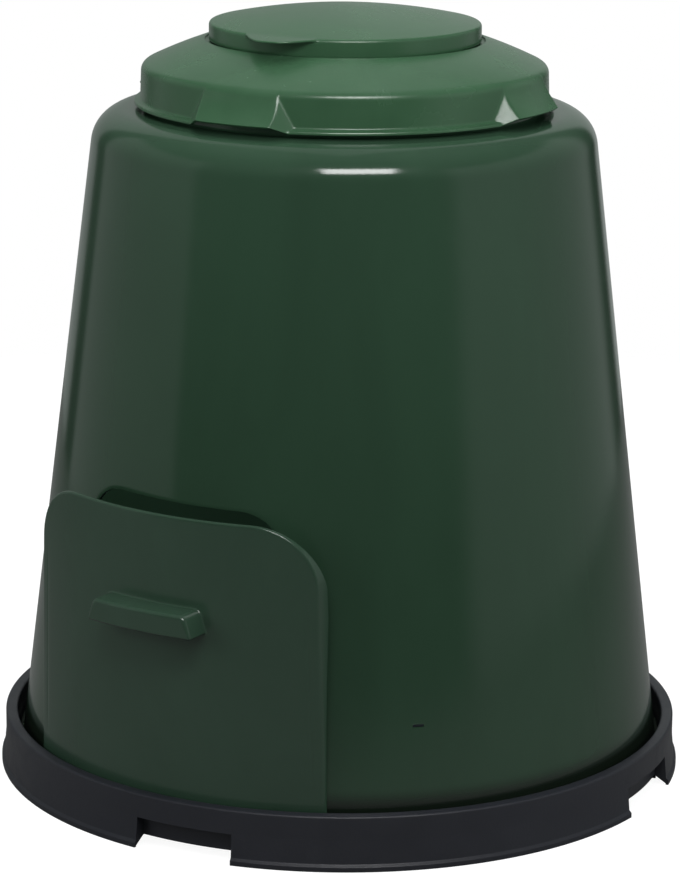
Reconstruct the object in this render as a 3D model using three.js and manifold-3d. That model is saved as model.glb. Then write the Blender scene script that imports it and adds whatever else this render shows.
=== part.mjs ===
// Compost bin: a ground ring with a drop-in floor, a tapered body with a doorway, a lift-up hatch,
// a lid that lifts off and a cap over the inlet in the lid.
// Millimetres, +Z up. The hatch faces -Y. The origin is on the ground, on the bin's axis.
// Angles are in degrees about Z, from -Y towards +X.
import * as THREE from 'three';
import { mergeVertices } from 'three/addons/utils/BufferGeometryUtils.js';
import { ConvexGeometry } from 'three/addons/geometries/ConvexGeometry.js';
import Module from 'manifold-3d';

const wasm = await Module();
wasm.setup();

// Driving dimensions shared by the pieces
const wall = 3;
const seatGap = 0.3;
const overrun = 5;
const roundSegments = 60;

// Ground ring, an upturned channel with a shelf for the body and the floor
const footRadius = 349.5;
const ringPlay = 2;
const ringWall = 3;
const ringTopWidth = 13;
const ringHeight = 57;
const ringEdge = 1.2;
const skirtStraightZ = 33;
const skirtSpread = 2.4;
const lipHeight = 5;
const lipSlope = 2;
const lipWidth = 3.1;
const shelfWidth = 33.5;
const shelfTopZ = 13;
const shelfThickness = 3;
const ribCount = 16;
const ribThickness = 3;
const notchCount = 4;
const notchTurn = 7.4;
const notchAngle = 17;
const notchHeight = 31.5;
const webFoot = 0.5;

// Screws that hold the body down on the shelf
const screwCount = 4;
const bossRadius = 7;
const bossBite = 1.5;
const bossSides = 16;
const shankRadius = 2;
const shankReach = 12;
const shankClearance = 0.3;
const shankTipGap = 2.5;
const headRadius = 4.5;
const headHeight = 2.5;
const screwSides = 12;

// Floor grille
const grillePlay = 3.5;
const grilleThickness = 3;
const grilleRim = 26;
const slotWidth = 8;
const slotLength = 50;
const slotGap = 18;
const slotPitch = 55;

// Body, with a foot band all round and a higher sill under the hatch
const footBandZ = 33;
const sillZ = 46;
const sillLap = 4;
const shoulderStartZ = 679;
const shoulderWidth = 58.2;
const shoulderRound = 38;
const shoulderTopSlope = 0.06;
const neckRadius = 208;
const neckHeight = 43.1;
const shoulderSteps = 6;

// Doorway, and the rails beside it that guide the hatch
const doorHalfWidth = 118;
const doorRound = 45;
const doorSill = 3;
const doorRise = 1.5;
const railInset = 10;
const railWeb = 3;
const railReach = 18;
const railPlate = 3;
const railGap = 4;
const railDrop = 26;
const railLength = 175;

// Vent slot in the body
const ventTurn = 46.8;
const ventZ = 139;
const ventLength = 11.6;
const ventHeight = 3;

// Hatch
const hatchInset = 1.5;
const hatchPlay = 1;
const hatchLap = 25;
const hatchFlare = 7.5;
const hatchTopZ = 349.5;
const hatchRound = 64;
const flangeDepth = 17.5;
const flangeLength = 175.5;
const hookHeight = 25;
const hookRise = 5;
const hookPlay = 0.5;
const hookSidePlay = 2;
const hookGrip = 9;
const hookToe = 2.5;

// Handle on the hatch
const handleProud = 28;
const handleDrop = 92.1;
const handleHeight = 24.6;
const handleHalfWidth = 64;
const handleSideLean = 7;
const handleRound = 8;
const cornerSteps = 4;

// Lid
const lidPlay = 2.2;
const lidRise = 27.5;
const lidCrown = 1.4;
const lidStandoff = 4.6;
const lidSkirtDraft = 1.3;
const lidLipWidth = 6.3;
const lidLipHeight = 4.8;
const lidCrownSteps = 4;
const grooveDepth = 3;
const collarPlay = 0.5;
const collarWall = 2.4;

// Finger grips pulled out of the lid's skirt
const gripCount = 4;
const gripTurn = 3.4;
const gripHalfAngle = 11.1;
const gripCornerAngle = 10.6;
const gripSideAngle = 15.1;
const gripKick = 19.4;
const gripLift = 7.5;
const gripSteps = 4;

// Cap
const capRadius = 142.6;
const capMoat = 3.9;
const capSkirt = 18.4;
const capSkirtGap = 1.5;
const capDome = 15.8;
const capEdge = 1.5;
const capDomeSteps = 5;
const tabTurn = 4.5;
const tabRootHalfAngle = 17;
const tabTipHalfAngle = 9.6;
const tabReach = 24;
const tabDroop = 2.2;

// Ground ring, sizes that follow
const ringInnerRadius = footRadius + ringPlay;
const ringOuterRadius = ringInnerRadius + ringTopWidth;
const skirtRadius = ringOuterRadius + skirtSpread;
const lipRadius = skirtRadius + lipWidth;
const shelfInnerRadius = ringInnerRadius - shelfWidth;
const shelfUnderZ = shelfTopZ - shelfThickness;

// Screws and floor, sizes that follow
const screwCircleRadius = footRadius - wall + bossBite - bossRadius;
const screwTurn = notchTurn + 180 / notchCount;
const grilleRadius = screwCircleRadius - bossRadius - grillePlay;
const floorZ = shelfTopZ + seatGap;

// Body and hatch, sizes that follow
const hatchRadius = footRadius - hatchInset;
const hatchInnerRadius = hatchRadius - wall;
const bodyLowRadius = hatchInnerRadius - hatchPlay;
const shoulderStartRadius = neckRadius + shoulderWidth;
const bodyTaper = (bodyLowRadius - shoulderStartRadius) / (shoulderStartZ - sillZ);
const neckFootZ = shoulderProfile(0).at(-1)[1];
const neckTopZ = neckFootZ + neckHeight;
const doorBottomZ = ringHeight + doorSill;
const doorTopZ = hatchTopZ + doorRise;
const railTopZ = doorTopZ - railDrop;
const railBottomZ = railTopZ - railLength;
const railInnerX = doorHalfWidth + railInset;
const railOuterX = railInnerX + railReach;
const railFrontY = railGap - chord(hatchInnerRadius, railOuterX);
const railBackY = railFrontY + railPlate;
const hatchHighHalfWidth = railOuterX + hatchLap;
const hatchLowHalfWidth = hatchHighHalfWidth + hatchFlare;
const hatchBottomZ = sillZ + seatGap;
const hatchCornerZ = hatchTopZ - hatchRound;
const flangeLowZ = hatchCornerZ - flangeLength;
const handleRadius = hatchRadius + handleProud;
const handleTopZ = hatchTopZ - handleDrop;

// Lid and cap, sizes that follow
const foldRadius = neckRadius + lidPlay + wall;
const coneTopRadius = capRadius + capMoat;
const lidSlope = lidRise / (foldRadius - coneTopRadius);
const lidUpright = wall * Math.hypot(1, lidSlope);
const foldZ = neckTopZ + seatGap + lidUpright - lidHeight(neckRadius);
const skirtBottomZ = neckFootZ + lidStandoff;
const gripDrop = foldZ - skirtBottomZ - gripLift;
const grooveFloorZ = foldZ + lidRise - grooveDepth;
const capInnerRadius = capRadius - wall;
const collarRadius = capInnerRadius - collarPlay;
const capBottomZ = grooveFloorZ + capSkirtGap;
const capRimZ = capBottomZ + capSkirt;
const collarTopZ = capHeight(collarRadius) - wall - seatGap;

// Distance in Y from the axis to a circle at a given X
function chord(radius, x) {
  return Math.sqrt(radius * radius - x * x);
}

// Outside radius of the tapered body at a height
function bodyRadius(z) {
  return bodyLowRadius - bodyTaper * (z - sillZ);
}

// Height of the lid's crowned cone above its fold
function lidHeight(radius) {
  const share = (foldRadius - radius) / (foldRadius - coneTopRadius);
  return lidRise * share + 4 * lidCrown * share * (1 - share);
}

// Height of the cap's domed top
function capHeight(radius) {
  return capRimZ + capDome * (1 - (radius / capRadius) ** 2);
}

function radians(degrees) {
  return THREE.MathUtils.degToRad(degrees);
}

// Point at a radius, an angle from -Y and a height
function polar(radius, degrees, z) {
  const turn = radians(degrees);
  return new THREE.Vector3(radius * Math.sin(turn), -radius * Math.cos(turn), z);
}

function solid(geometry) {
  const bare = geometry.clone();
  bare.deleteAttribute('normal');
  bare.deleteAttribute('uv');
  const merged = mergeVertices(bare);
  const corners = merged.index.array;
  const kept = [];
  for (let i = 0; i < corners.length; i += 3) {
    const [a, b, c] = corners.slice(i, i + 3);
    if (a !== b && b !== c && c !== a) {
      kept.push(a, b, c);
    }
  }
  return new wasm.Manifold(new wasm.Mesh({
    numProp: 3,
    vertProperties: new Float32Array(merged.attributes.position.array),
    triVerts: new Uint32Array(kept),
  }));
}

// Profile of [radius, height] pairs turned about Z, counter-clockwise with the radius to the right
function turned(profile) {
  const points = profile.map(([radius, z]) => new THREE.Vector2(radius, z));
  return new THREE.LatheGeometry(points, roundSegments).rotateX(Math.PI / 2);
}

function turnedRing(profile) {
  return solid(turned([...profile, profile[0]]));
}

function turnedSolid(profile) {
  return solid(turned(profile));
}

function box(low, high) {
  const size = new THREE.Vector3().subVectors(high, low);
  const centre = new THREE.Vector3().addVectors(low, high).multiplyScalar(0.5);
  return new THREE.BoxGeometry(size.x, size.y, size.z).translate(centre.x, centre.y, centre.z);
}

function boxSolid(low, high) {
  return solid(box(low, high));
}

// Upright cylinder between two heights, at a radius and an angle
function post(radius, sides, circleRadius, degrees, lowZ, highZ) {
  const foot = polar(circleRadius, degrees, (lowZ + highZ) / 2);
  const geometry = new THREE.CylinderGeometry(radius, radius, highZ - lowZ, sides).rotateX(Math.PI / 2);
  return geometry.translate(foot.x, foot.y, foot.z);
}

// Outline in X and Z, carried from the XZ plane out past the front of the bin
function frontPrism(shape) {
  const geometry = new THREE.ExtrudeGeometry(shape, {
    depth: handleRadius + overrun,
    bevelEnabled: false,
    curveSegments: cornerSteps,
  });
  return solid(geometry.rotateX(Math.PI / 2));
}

function outlineOf(points) {
  return new THREE.Shape(points.map(([a, b]) => new THREE.Vector2(a, b)));
}

function polygonPrism(points, lowZ, highZ) {
  const geometry = new THREE.ExtrudeGeometry(outlineOf(points), {
    depth: highZ - lowZ,
    bevelEnabled: false,
  });
  return solid(geometry.translate(0, 0, lowZ));
}

function mesh(name, manifold, finish) {
  const { vertProperties, triVerts } = manifold.getMesh();
  const geometry = new THREE.BufferGeometry();
  geometry.setAttribute('position', new THREE.BufferAttribute(vertProperties, 3));
  geometry.setIndex(new THREE.BufferAttribute(triVerts, 1));
  geometry.computeVertexNormals();
  const piece = new THREE.Mesh(geometry, new THREE.MeshStandardMaterial(finish));
  piece.name = name;
  return piece;
}

const blackPlastic = { color: 0x24262b, roughness: 0.5, metalness: 0 };
const bodyGreen = { color: 0x24402f, roughness: 0.28, metalness: 0 };
const lidGreen = { color: 0x36593f, roughness: 0.4, metalness: 0 };
const zincSteel = { color: 0xb4b8bc, roughness: 0.35, metalness: 1 };

// Wedge-shaped cutter through the ring's outer skirt at one notch
function notchCutter(turn) {
  const half = notchAngle / 2;
  const inner = (ringInnerRadius + ringWall + ringOuterRadius) / 2;
  const outer = lipRadius + overrun;
  const plan = [
    polar(inner, turn - half, 0),
    polar(outer, turn - half, 0),
    polar(outer, turn, 0),
    polar(outer, turn + half, 0),
    polar(inner, turn + half, 0),
    polar(inner, turn, 0),
  ];
  return polygonPrism(plan.map((point) => [point.x, point.y]), -overrun, notchHeight);
}

// Plate along the radius at an angle, from an outline of [radius, height] pairs
function radialPlate(turn, thickness, profile) {
  const geometry = new THREE.ExtrudeGeometry(outlineOf(profile), {
    depth: thickness,
    bevelEnabled: false,
  });
  const upright = geometry.translate(0, 0, -thickness / 2).rotateX(Math.PI / 2);
  return solid(upright.rotateZ(radians(turn - 90)));
}

// Block between two radii, square to the radius at an angle
function radialBlock(turn, width, innerRadius, outerRadius, lowZ, highZ) {
  const geometry = box(
    new THREE.Vector3(-width / 2, -outerRadius, lowZ),
    new THREE.Vector3(width / 2, -innerRadius, highZ),
  );
  return solid(geometry.rotateZ(radians(turn)));
}

function groundRing() {
  const channelInnerRadius = ringInnerRadius + ringWall;
  const channelOuterRadius = ringOuterRadius - ringWall;
  const lipTopZ = lipHeight + lipSlope;
  let ring = turnedRing([
    [lipRadius, 0],
    [lipRadius, lipHeight],
    [skirtRadius, lipTopZ],
    [ringOuterRadius, skirtStraightZ],
    [ringOuterRadius, ringHeight - ringEdge],
    [ringOuterRadius - ringEdge, ringHeight],
    [ringInnerRadius + ringEdge, ringHeight],
    [ringInnerRadius, ringHeight - ringEdge],
    [ringInnerRadius, shelfTopZ],
    [shelfInnerRadius, shelfTopZ],
    [shelfInnerRadius, shelfUnderZ],
    [channelInnerRadius, shelfUnderZ],
    [channelInnerRadius, ringHeight - ringWall],
    [channelOuterRadius, ringHeight - ringWall],
    [channelOuterRadius, skirtStraightZ],
    [skirtRadius - ringWall, lipTopZ],
    [lipRadius - ringWall, 0],
  ]);
  for (let i = 0; i < notchCount; i += 1) {
    const turn = notchTurn + i * 360 / notchCount;
    ring = ring.subtract(notchCutter(turn));
    for (const side of [-1, 1]) {
      const lean = notchAngle / 2 + THREE.MathUtils.radToDeg(ringWall / 2 / ringOuterRadius);
      const roofZ = ringHeight - ringWall / 2;
      ring = ring.add(radialPlate(turn + side * lean, ringWall, [
        [ringInnerRadius + ringWall / 2, shelfUnderZ + webFoot],
        [lipRadius - ringWall / 2, webFoot],
        [skirtRadius - ringWall / 2, lipTopZ],
        [ringOuterRadius - ringWall / 2, skirtStraightZ],
        [ringOuterRadius - ringWall / 2, roofZ],
        [ringInnerRadius + ringWall / 2, roofZ],
      ]));
    }
  }
  for (let i = 0; i < ribCount; i += 1) {
    const turn = notchTurn + (i + 0.5) * 360 / ribCount;
    ring = ring.add(radialBlock(turn, ribThickness, shelfInnerRadius + ribThickness,
      ringInnerRadius, 0, shelfTopZ - shelfThickness / 2));
  }
  for (let i = 0; i < screwCount; i += 1) {
    const turn = screwTurn + i * 360 / screwCount;
    const hole = post(shankRadius + shankClearance, screwSides, screwCircleRadius, turn,
      shelfUnderZ - overrun, shelfTopZ + overrun);
    ring = ring.subtract(solid(hole));
  }
  return ring;
}

// Disc with rings of straight slots
function floorGrille() {
  const floorTopZ = floorZ + grilleThickness;
  let grille = turnedSolid([
    [0, floorZ],
    [grilleRadius, floorZ],
    [grilleRadius, floorTopZ],
    [0, floorTopZ],
  ]);
  for (let radius = slotPitch; radius < grilleRadius - grilleRim; radius += slotPitch) {
    const count = Math.floor(2 * Math.PI * radius / (slotLength + slotGap));
    for (let i = 0; i < count; i += 1) {
      const slot = radialBlock(i * 360 / count, slotLength, radius - slotWidth / 2,
        radius + slotWidth / 2, floorZ - overrun, floorTopZ + overrun);
      grille = grille.subtract(slot);
    }
  }
  return grille;
}

// Points of the shoulder, round from the cone and then nearly flat to the neck,
// for a surface that lies a given depth under the outside
function shoulderProfile(depth) {
  const cone = Math.atan(bodyTaper);
  const top = Math.PI / 2 - Math.atan(shoulderTopSlope);
  const centreRadius = shoulderStartRadius - shoulderRound * Math.cos(cone);
  const centreZ = shoulderStartZ - shoulderRound * Math.sin(cone);
  const points = [];
  for (let i = 0; i <= shoulderSteps; i += 1) {
    const angle = cone + (top - cone) * i / shoulderSteps;
    const reach = shoulderRound - depth;
    points.push([centreRadius + reach * Math.cos(angle), centreZ + reach * Math.sin(angle)]);
  }
  const [lastRadius, lastZ] = points[shoulderSteps];
  const endRadius = neckRadius - depth;
  points.push([endRadius, lastZ + shoulderTopSlope * (lastRadius - endRadius)]);
  return points;
}

// Doorway outline, rounded at its top corners
function doorway() {
  const shape = new THREE.Shape();
  shape.moveTo(-doorHalfWidth, doorBottomZ);
  shape.lineTo(doorHalfWidth, doorBottomZ);
  shape.absarc(doorHalfWidth - doorRound, doorTopZ - doorRound, doorRound, 0, Math.PI / 2);
  shape.absarc(doorRound - doorHalfWidth, doorTopZ - doorRound, doorRound, Math.PI / 2, Math.PI);
  return frontPrism(shape);
}

// Rail beside the doorway: a web off the body and a plate that the hatch's hooks run behind
function guideRail(side) {
  const depthY = -chord(bodyRadius(railTopZ), railOuterX) + railReach;
  const webX = [side * railInnerX, side * (railInnerX + railWeb)];
  const plateX = [side * railInnerX, side * railOuterX];
  const web = boxSolid(
    new THREE.Vector3(Math.min(...webX), railFrontY, railBottomZ),
    new THREE.Vector3(Math.max(...webX), depthY, railTopZ),
  );
  const plate = boxSolid(
    new THREE.Vector3(Math.min(...plateX), railFrontY, railBottomZ),
    new THREE.Vector3(Math.max(...plateX), railBackY, railTopZ),
  );
  return web.add(plate);
}

// Ledge on the front of the body that the hatch stands on
function hatchSill() {
  const halfWidth = hatchLowHalfWidth + sillLap;
  const rootRadius = bodyRadius(sillZ) - wall / 2;
  const ledge = turnedRing([
    [rootRadius, footBandZ - wall / 2],
    [footRadius, footBandZ - wall / 2],
    [footRadius, sillZ],
    [rootRadius, sillZ],
  ]);
  return ledge.intersect(boxSolid(
    new THREE.Vector3(-halfWidth, -footRadius - overrun, 0),
    new THREE.Vector3(halfWidth, 0, sillZ + overrun),
  ));
}

function bodyShell() {
  const lean = wall * Math.hypot(1, bodyTaper);
  const ledgeUnderZ = footBandZ - wall;
  const outside = turnedSolid([
    [0, floorZ],
    [footRadius, floorZ],
    [footRadius, footBandZ],
    [bodyRadius(footBandZ), footBandZ],
    ...shoulderProfile(0),
    [neckRadius, neckTopZ],
    [0, neckTopZ],
  ]);
  const inside = turnedSolid([
    [0, floorZ - overrun],
    [footRadius - wall, floorZ - overrun],
    [footRadius - wall, ledgeUnderZ],
    [bodyRadius(ledgeUnderZ) - lean, ledgeUnderZ],
    ...shoulderProfile(wall),
    [neckRadius - wall, neckTopZ + overrun],
    [0, neckTopZ + overrun],
  ]);
  let body = outside.add(guideRail(-1)).add(guideRail(1)).subtract(inside).subtract(doorway());
  body = body.add(hatchSill());
  for (let i = 0; i < screwCount; i += 1) {
    const turn = screwTurn + i * 360 / screwCount;
    const boss = post(bossRadius, bossSides, screwCircleRadius, turn, floorZ, footBandZ - wall / 2);
    const hole = post(shankRadius + shankClearance, screwSides, screwCircleRadius, turn,
      floorZ - overrun, floorZ + shankReach + shankTipGap);
    body = body.add(solid(boss)).subtract(solid(hole));
  }
  const vent = box(
    new THREE.Vector3(-ventLength / 2, -bodyRadius(ventZ) - overrun, ventZ - ventHeight / 2),
    new THREE.Vector3(ventLength / 2, -bodyRadius(ventZ) + wall + overrun, ventZ + ventHeight / 2),
  );
  return body.subtract(solid(vent.rotateZ(radians(ventTurn))));
}

// Hatch outline, a given inset inside its edge
function hatchOutline(inset, bottomZ) {
  const high = hatchHighHalfWidth - inset;
  const low = hatchLowHalfWidth - inset;
  const round = hatchRound - inset;
  const shape = new THREE.Shape();
  shape.moveTo(-low, bottomZ);
  shape.lineTo(low, bottomZ);
  shape.absarc(high - round, hatchCornerZ, round, 0, Math.PI / 2);
  shape.absarc(round - high, hatchCornerZ, round, Math.PI / 2, Math.PI);
  return frontPrism(shape);
}

// Handle outline, rounded at its top corners
function handleOutline(inset) {
  const lowZ = handleTopZ - handleHeight + inset;
  const highZ = handleTopZ - inset;
  const low = handleHalfWidth - inset;
  const side = low - handleSideLean;
  const top = side - handleRound;
  const turnZ = highZ - handleRound;
  const shape = new THREE.Shape();
  shape.moveTo(-low, lowZ);
  shape.lineTo(low, lowZ);
  shape.lineTo(side, turnZ);
  shape.quadraticCurveTo(side, highZ, top, highZ);
  shape.lineTo(-top, highZ);
  shape.quadraticCurveTo(-side, highZ, -side, turnZ);
  return frontPrism(shape);
}

// Hook on the back of the hatch, round the outer edge of a rail's plate
function hatchHook(side, lowZ) {
  const toeY = railBackY + hookPlay;
  const backX = railOuterX + hookSidePlay;
  const edgeX = backX + wall;
  const toeX = [side * (railOuterX - hookGrip), side * edgeX];
  const webX = [side * backX, side * edgeX];
  const toe = boxSolid(
    new THREE.Vector3(Math.min(...toeX), toeY, lowZ),
    new THREE.Vector3(Math.max(...toeX), toeY + hookToe, lowZ + hookHeight),
  );
  const web = boxSolid(
    new THREE.Vector3(Math.min(...webX), -chord(hatchInnerRadius, backX) - wall / 2, lowZ),
    new THREE.Vector3(Math.max(...webX), toeY + hookToe, lowZ + hookHeight),
  );
  return toe.add(web);
}

// Return along the hatch's sides and top corners, deepest at the start of the corners
function sideFlange() {
  const cornerX = hatchHighHalfWidth - hatchRound;
  const deepY = flangeDepth - chord(hatchRadius, hatchHighHalfWidth);
  const lowY = wall / 2 - chord(hatchRadius, hatchLowHalfWidth);
  const topY = wall / 2 - chord(hatchRadius, cornerX);
  const frontY = -hatchRadius - overrun;
  const shape = outlineOf([
    [frontY, flangeLowZ],
    [lowY, flangeLowZ],
    [deepY, hatchCornerZ],
    [topY, hatchTopZ + overrun],
    [frontY, hatchTopZ + overrun],
  ]);
  const width = 2 * hatchLowHalfWidth;
  const geometry = new THREE.ExtrudeGeometry(shape, { depth: width, bevelEnabled: false });
  const basis = new THREE.Matrix4().makeBasis(
    new THREE.Vector3(0, 1, 0),
    new THREE.Vector3(0, 0, 1),
    new THREE.Vector3(1, 0, 0),
  );
  const wedge = solid(geometry.applyMatrix4(basis).translate(-width / 2, 0, 0));
  const middle = boxSolid(
    new THREE.Vector3(-cornerX, frontY, 0),
    new THREE.Vector3(cornerX, 0, hatchTopZ + 2 * overrun),
  );
  const inside = turnedSolid([
    [0, 0],
    [hatchRadius, 0],
    [hatchRadius, hatchTopZ + overrun],
    [0, hatchTopZ + overrun],
  ]);
  const edge = hatchOutline(0, hatchBottomZ).subtract(hatchOutline(wall, hatchBottomZ - overrun));
  return edge.intersect(wedge).subtract(middle).intersect(inside);
}

function hatchPanel() {
  const panel = turnedRing([
    [hatchRadius, 0],
    [hatchRadius, hatchTopZ + overrun],
    [hatchInnerRadius, hatchTopZ + overrun],
    [hatchInnerRadius, 0],
  ]).intersect(hatchOutline(0, hatchBottomZ));
  const grip = turnedRing([
    [handleRadius, 0],
    [handleRadius, hatchTopZ],
    [hatchInnerRadius + wall / 2, hatchTopZ],
    [hatchInnerRadius + wall / 2, 0],
  ]).intersect(handleOutline(0));
  const pocket = turnedRing([
    [handleRadius - wall, 0],
    [handleRadius - wall, hatchTopZ],
    [hatchInnerRadius - overrun, hatchTopZ],
    [hatchInnerRadius - overrun, 0],
  ]).intersect(handleOutline(wall));
  let hatch = panel.add(sideFlange()).add(grip).subtract(pocket);
  for (const side of [-1, 1]) {
    hatch = hatch.add(hatchHook(side, railBottomZ + hookRise));
    hatch = hatch.add(hatchHook(side, railTopZ - hookRise - hookHeight));
  }
  return hatch;
}

// Hull of one finger grip. Its face runs from the fold out to the kicked edge, and a three-cornered
// facet closes each side down to the skirt. The depth is how far it lies under the outside.
function gripHull(turn, depth, reach) {
  const run = Math.hypot(gripKick, gripDrop);
  const outward = gripKick / run;
  const downward = gripDrop / run;
  const shy = THREE.MathUtils.radToDeg(depth / foldRadius);
  const topRadius = foldRadius - depth * downward;
  const topZ = foldZ - depth * outward;
  const edgeRadius = topRadius + gripKick + reach * outward;
  const edgeZ = topZ - gripDrop - reach * downward;
  const lipBottomZ = skirtBottomZ - reach;
  const sideRadius = foldRadius + lidSkirtDraft + lidLipWidth - depth;
  const innerRadius = neckRadius - wall;
  const points = [];
  for (let i = 0; i <= gripSteps; i += 1) {
    const share = 2 * i / gripSteps - 1;
    const top = turn + share * (gripHalfAngle - shy);
    points.push(polar(topRadius, top, topZ));
    points.push(polar(edgeRadius, turn + share * (gripCornerAngle - shy), edgeZ));
    points.push(polar(innerRadius, top, topZ));
    points.push(polar(innerRadius, top, lipBottomZ));
  }
  for (const side of [-1, 1]) {
    points.push(polar(sideRadius, turn + side * (gripSideAngle - shy), lipBottomZ));
  }
  return solid(new ConvexGeometry(points));
}

function lidShell() {
  const draftRadius = foldRadius + lidSkirtDraft;
  const lipTopZ = skirtBottomZ + lidLipHeight;
  const crown = [];
  const crownUnder = [];
  for (let i = 0; i <= lidCrownSteps; i += 1) {
    const radius = foldRadius + (coneTopRadius - foldRadius) * i / lidCrownSteps;
    const underRadius = radius - wall;
    crown.push([radius, foldZ + lidHeight(radius)]);
    crownUnder.push([underRadius, foldZ + lidHeight(underRadius) - lidUpright]);
  }
  const grooveUnderZ = grooveFloorZ - wall;
  const under = crownUnder.filter(([, z]) => z < grooveUnderZ);
  const underSlope = coneTopRadius + (grooveDepth + wall - lidUpright) / lidSlope;
  let outside = turnedSolid([
    [0, skirtBottomZ],
    [draftRadius + lidLipWidth, skirtBottomZ],
    [draftRadius, lipTopZ],
    ...crown,
    [coneTopRadius, grooveFloorZ],
    [collarRadius, grooveFloorZ],
    [collarRadius, collarTopZ],
    [0, collarTopZ],
  ]);
  let inside = turnedSolid([
    [0, skirtBottomZ - overrun],
    [draftRadius + lidLipWidth - wall, skirtBottomZ - overrun],
    [draftRadius + lidLipWidth - wall, skirtBottomZ],
    [draftRadius - wall, lipTopZ - wall / 2],
    ...under,
    [underSlope, grooveUnderZ],
    [collarRadius - collarWall, grooveUnderZ],
    [collarRadius - collarWall, collarTopZ + overrun],
    [0, collarTopZ + overrun],
  ]);
  for (let i = 0; i < gripCount; i += 1) {
    const turn = gripTurn + i * 360 / gripCount;
    outside = outside.add(gripHull(turn, 0, 0));
    inside = inside.add(gripHull(turn, wall, overrun));
  }
  return outside.subtract(inside);
}

// Finger tab: its outline in plan, cut out of a ring that droops outwards
function capTab() {
  const tipRadius = capRadius + tabReach;
  const rootRadius = capInnerRadius + wall / 2;
  const plan = [polar(rootRadius, tabTurn - tabRootHalfAngle, 0)];
  for (let i = 0; i <= gripSteps; i += 1) {
    const share = 2 * i / gripSteps - 1;
    plan.push(polar(tipRadius, tabTurn + share * tabTipHalfAngle, 0));
  }
  plan.push(polar(rootRadius, tabTurn + tabRootHalfAngle, 0));
  plan.push(polar(rootRadius, tabTurn, 0));
  const rootZ = capRimZ - capEdge / 2;
  const droop = turnedRing([
    [rootRadius - wall, rootZ - wall],
    [tipRadius + overrun, rootZ - wall - tabDroop],
    [tipRadius + overrun, rootZ - tabDroop],
    [rootRadius - wall, rootZ],
  ]);
  const outline = polygonPrism(plan.map((point) => [point.x, point.y]), capBottomZ, capRimZ);
  return outline.intersect(droop);
}

function lidCap() {
  const domed = [];
  const underneath = [];
  for (let i = 0; i <= capDomeSteps; i += 1) {
    const share = i / capDomeSteps;
    const radius = (capRadius - capEdge) * (1 - share);
    const underRadius = capInnerRadius * share;
    domed.push([radius, capHeight(radius)]);
    underneath.push([underRadius, capHeight(underRadius) - wall]);
  }
  const dome = turnedSolid([
    ...underneath,
    [capInnerRadius, capBottomZ],
    [capRadius, capBottomZ],
    [capRadius, capRimZ - capEdge],
    ...domed,
  ]);
  return dome.add(capTab());
}

// Pan-head screw, up through the shelf into a boss of the body
function baseScrew(turn) {
  const headTopZ = shelfUnderZ - seatGap;
  const head = post(headRadius, screwSides, screwCircleRadius, turn, headTopZ - headHeight, headTopZ);
  const shank = post(shankRadius, screwSides, screwCircleRadius, turn, headTopZ - headHeight / 2,
    floorZ + shankReach);
  return solid(head).add(solid(shank));
}

const bin = new THREE.Group();
bin.add(mesh('base_ring', groundRing(), blackPlastic));
bin.add(mesh('floor_grille', floorGrille(), blackPlastic));
bin.add(mesh('body_shell', bodyShell(), bodyGreen));
bin.add(mesh('hatch', hatchPanel(), bodyGreen));
bin.add(mesh('lid', lidShell(), lidGreen));
bin.add(mesh('lid_cap', lidCap(), lidGreen));
for (let i = 0; i < screwCount; i += 1) {
  const screw = baseScrew(screwTurn + i * 360 / screwCount);
  bin.add(mesh(`base_screw_${i + 1}`, screw, zincSteel));
}

export default bin;
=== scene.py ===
import math
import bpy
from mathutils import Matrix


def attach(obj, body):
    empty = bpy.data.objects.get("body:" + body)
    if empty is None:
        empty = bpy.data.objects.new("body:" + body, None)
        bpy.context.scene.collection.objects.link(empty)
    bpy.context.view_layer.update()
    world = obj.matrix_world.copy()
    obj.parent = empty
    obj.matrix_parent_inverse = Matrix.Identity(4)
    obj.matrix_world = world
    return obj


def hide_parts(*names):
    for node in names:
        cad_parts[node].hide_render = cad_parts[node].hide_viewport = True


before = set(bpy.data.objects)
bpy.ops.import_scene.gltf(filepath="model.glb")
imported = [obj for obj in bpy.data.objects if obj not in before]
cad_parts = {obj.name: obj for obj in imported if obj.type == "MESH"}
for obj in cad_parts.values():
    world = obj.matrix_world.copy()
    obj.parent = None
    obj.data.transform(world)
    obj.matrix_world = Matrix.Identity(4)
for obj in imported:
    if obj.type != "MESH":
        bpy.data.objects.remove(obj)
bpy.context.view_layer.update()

from types import SimpleNamespace

import bmesh
import bpy
import numpy as np
from mathutils import Matrix

# Pieces are in millimetres and degrees, and the studio is in metres. Turns run about Z from -Y, where the
# hatch is, towards +X.
millimetre = 0.001

# Shape helpers

meshing = {"weldWithin": 3e-6, "dropUnder": 2e-6, "crease": 38, "bevelSteps": 2, "bevelFrom": 55}


def turned(radius, turn, height):
    # x = radius * sin(turn), y = -radius * cos(turn), z = height
    radius, turn, height = np.broadcast_arrays(radius, np.radians(turn), height)
    return np.stack([radius * np.sin(turn), -radius * np.cos(turn), height], axis=-1)


def unit(vector):
    # vector / its length
    return vector / np.linalg.norm(vector)


def smoothStep(low, high, value):
    # 0 below low, 1 above high, and 3s^2 - 2s^3 between them
    share = np.clip((value - low) / (high - low), 0, 1)
    return share * share * (3 - 2 * share)


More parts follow.
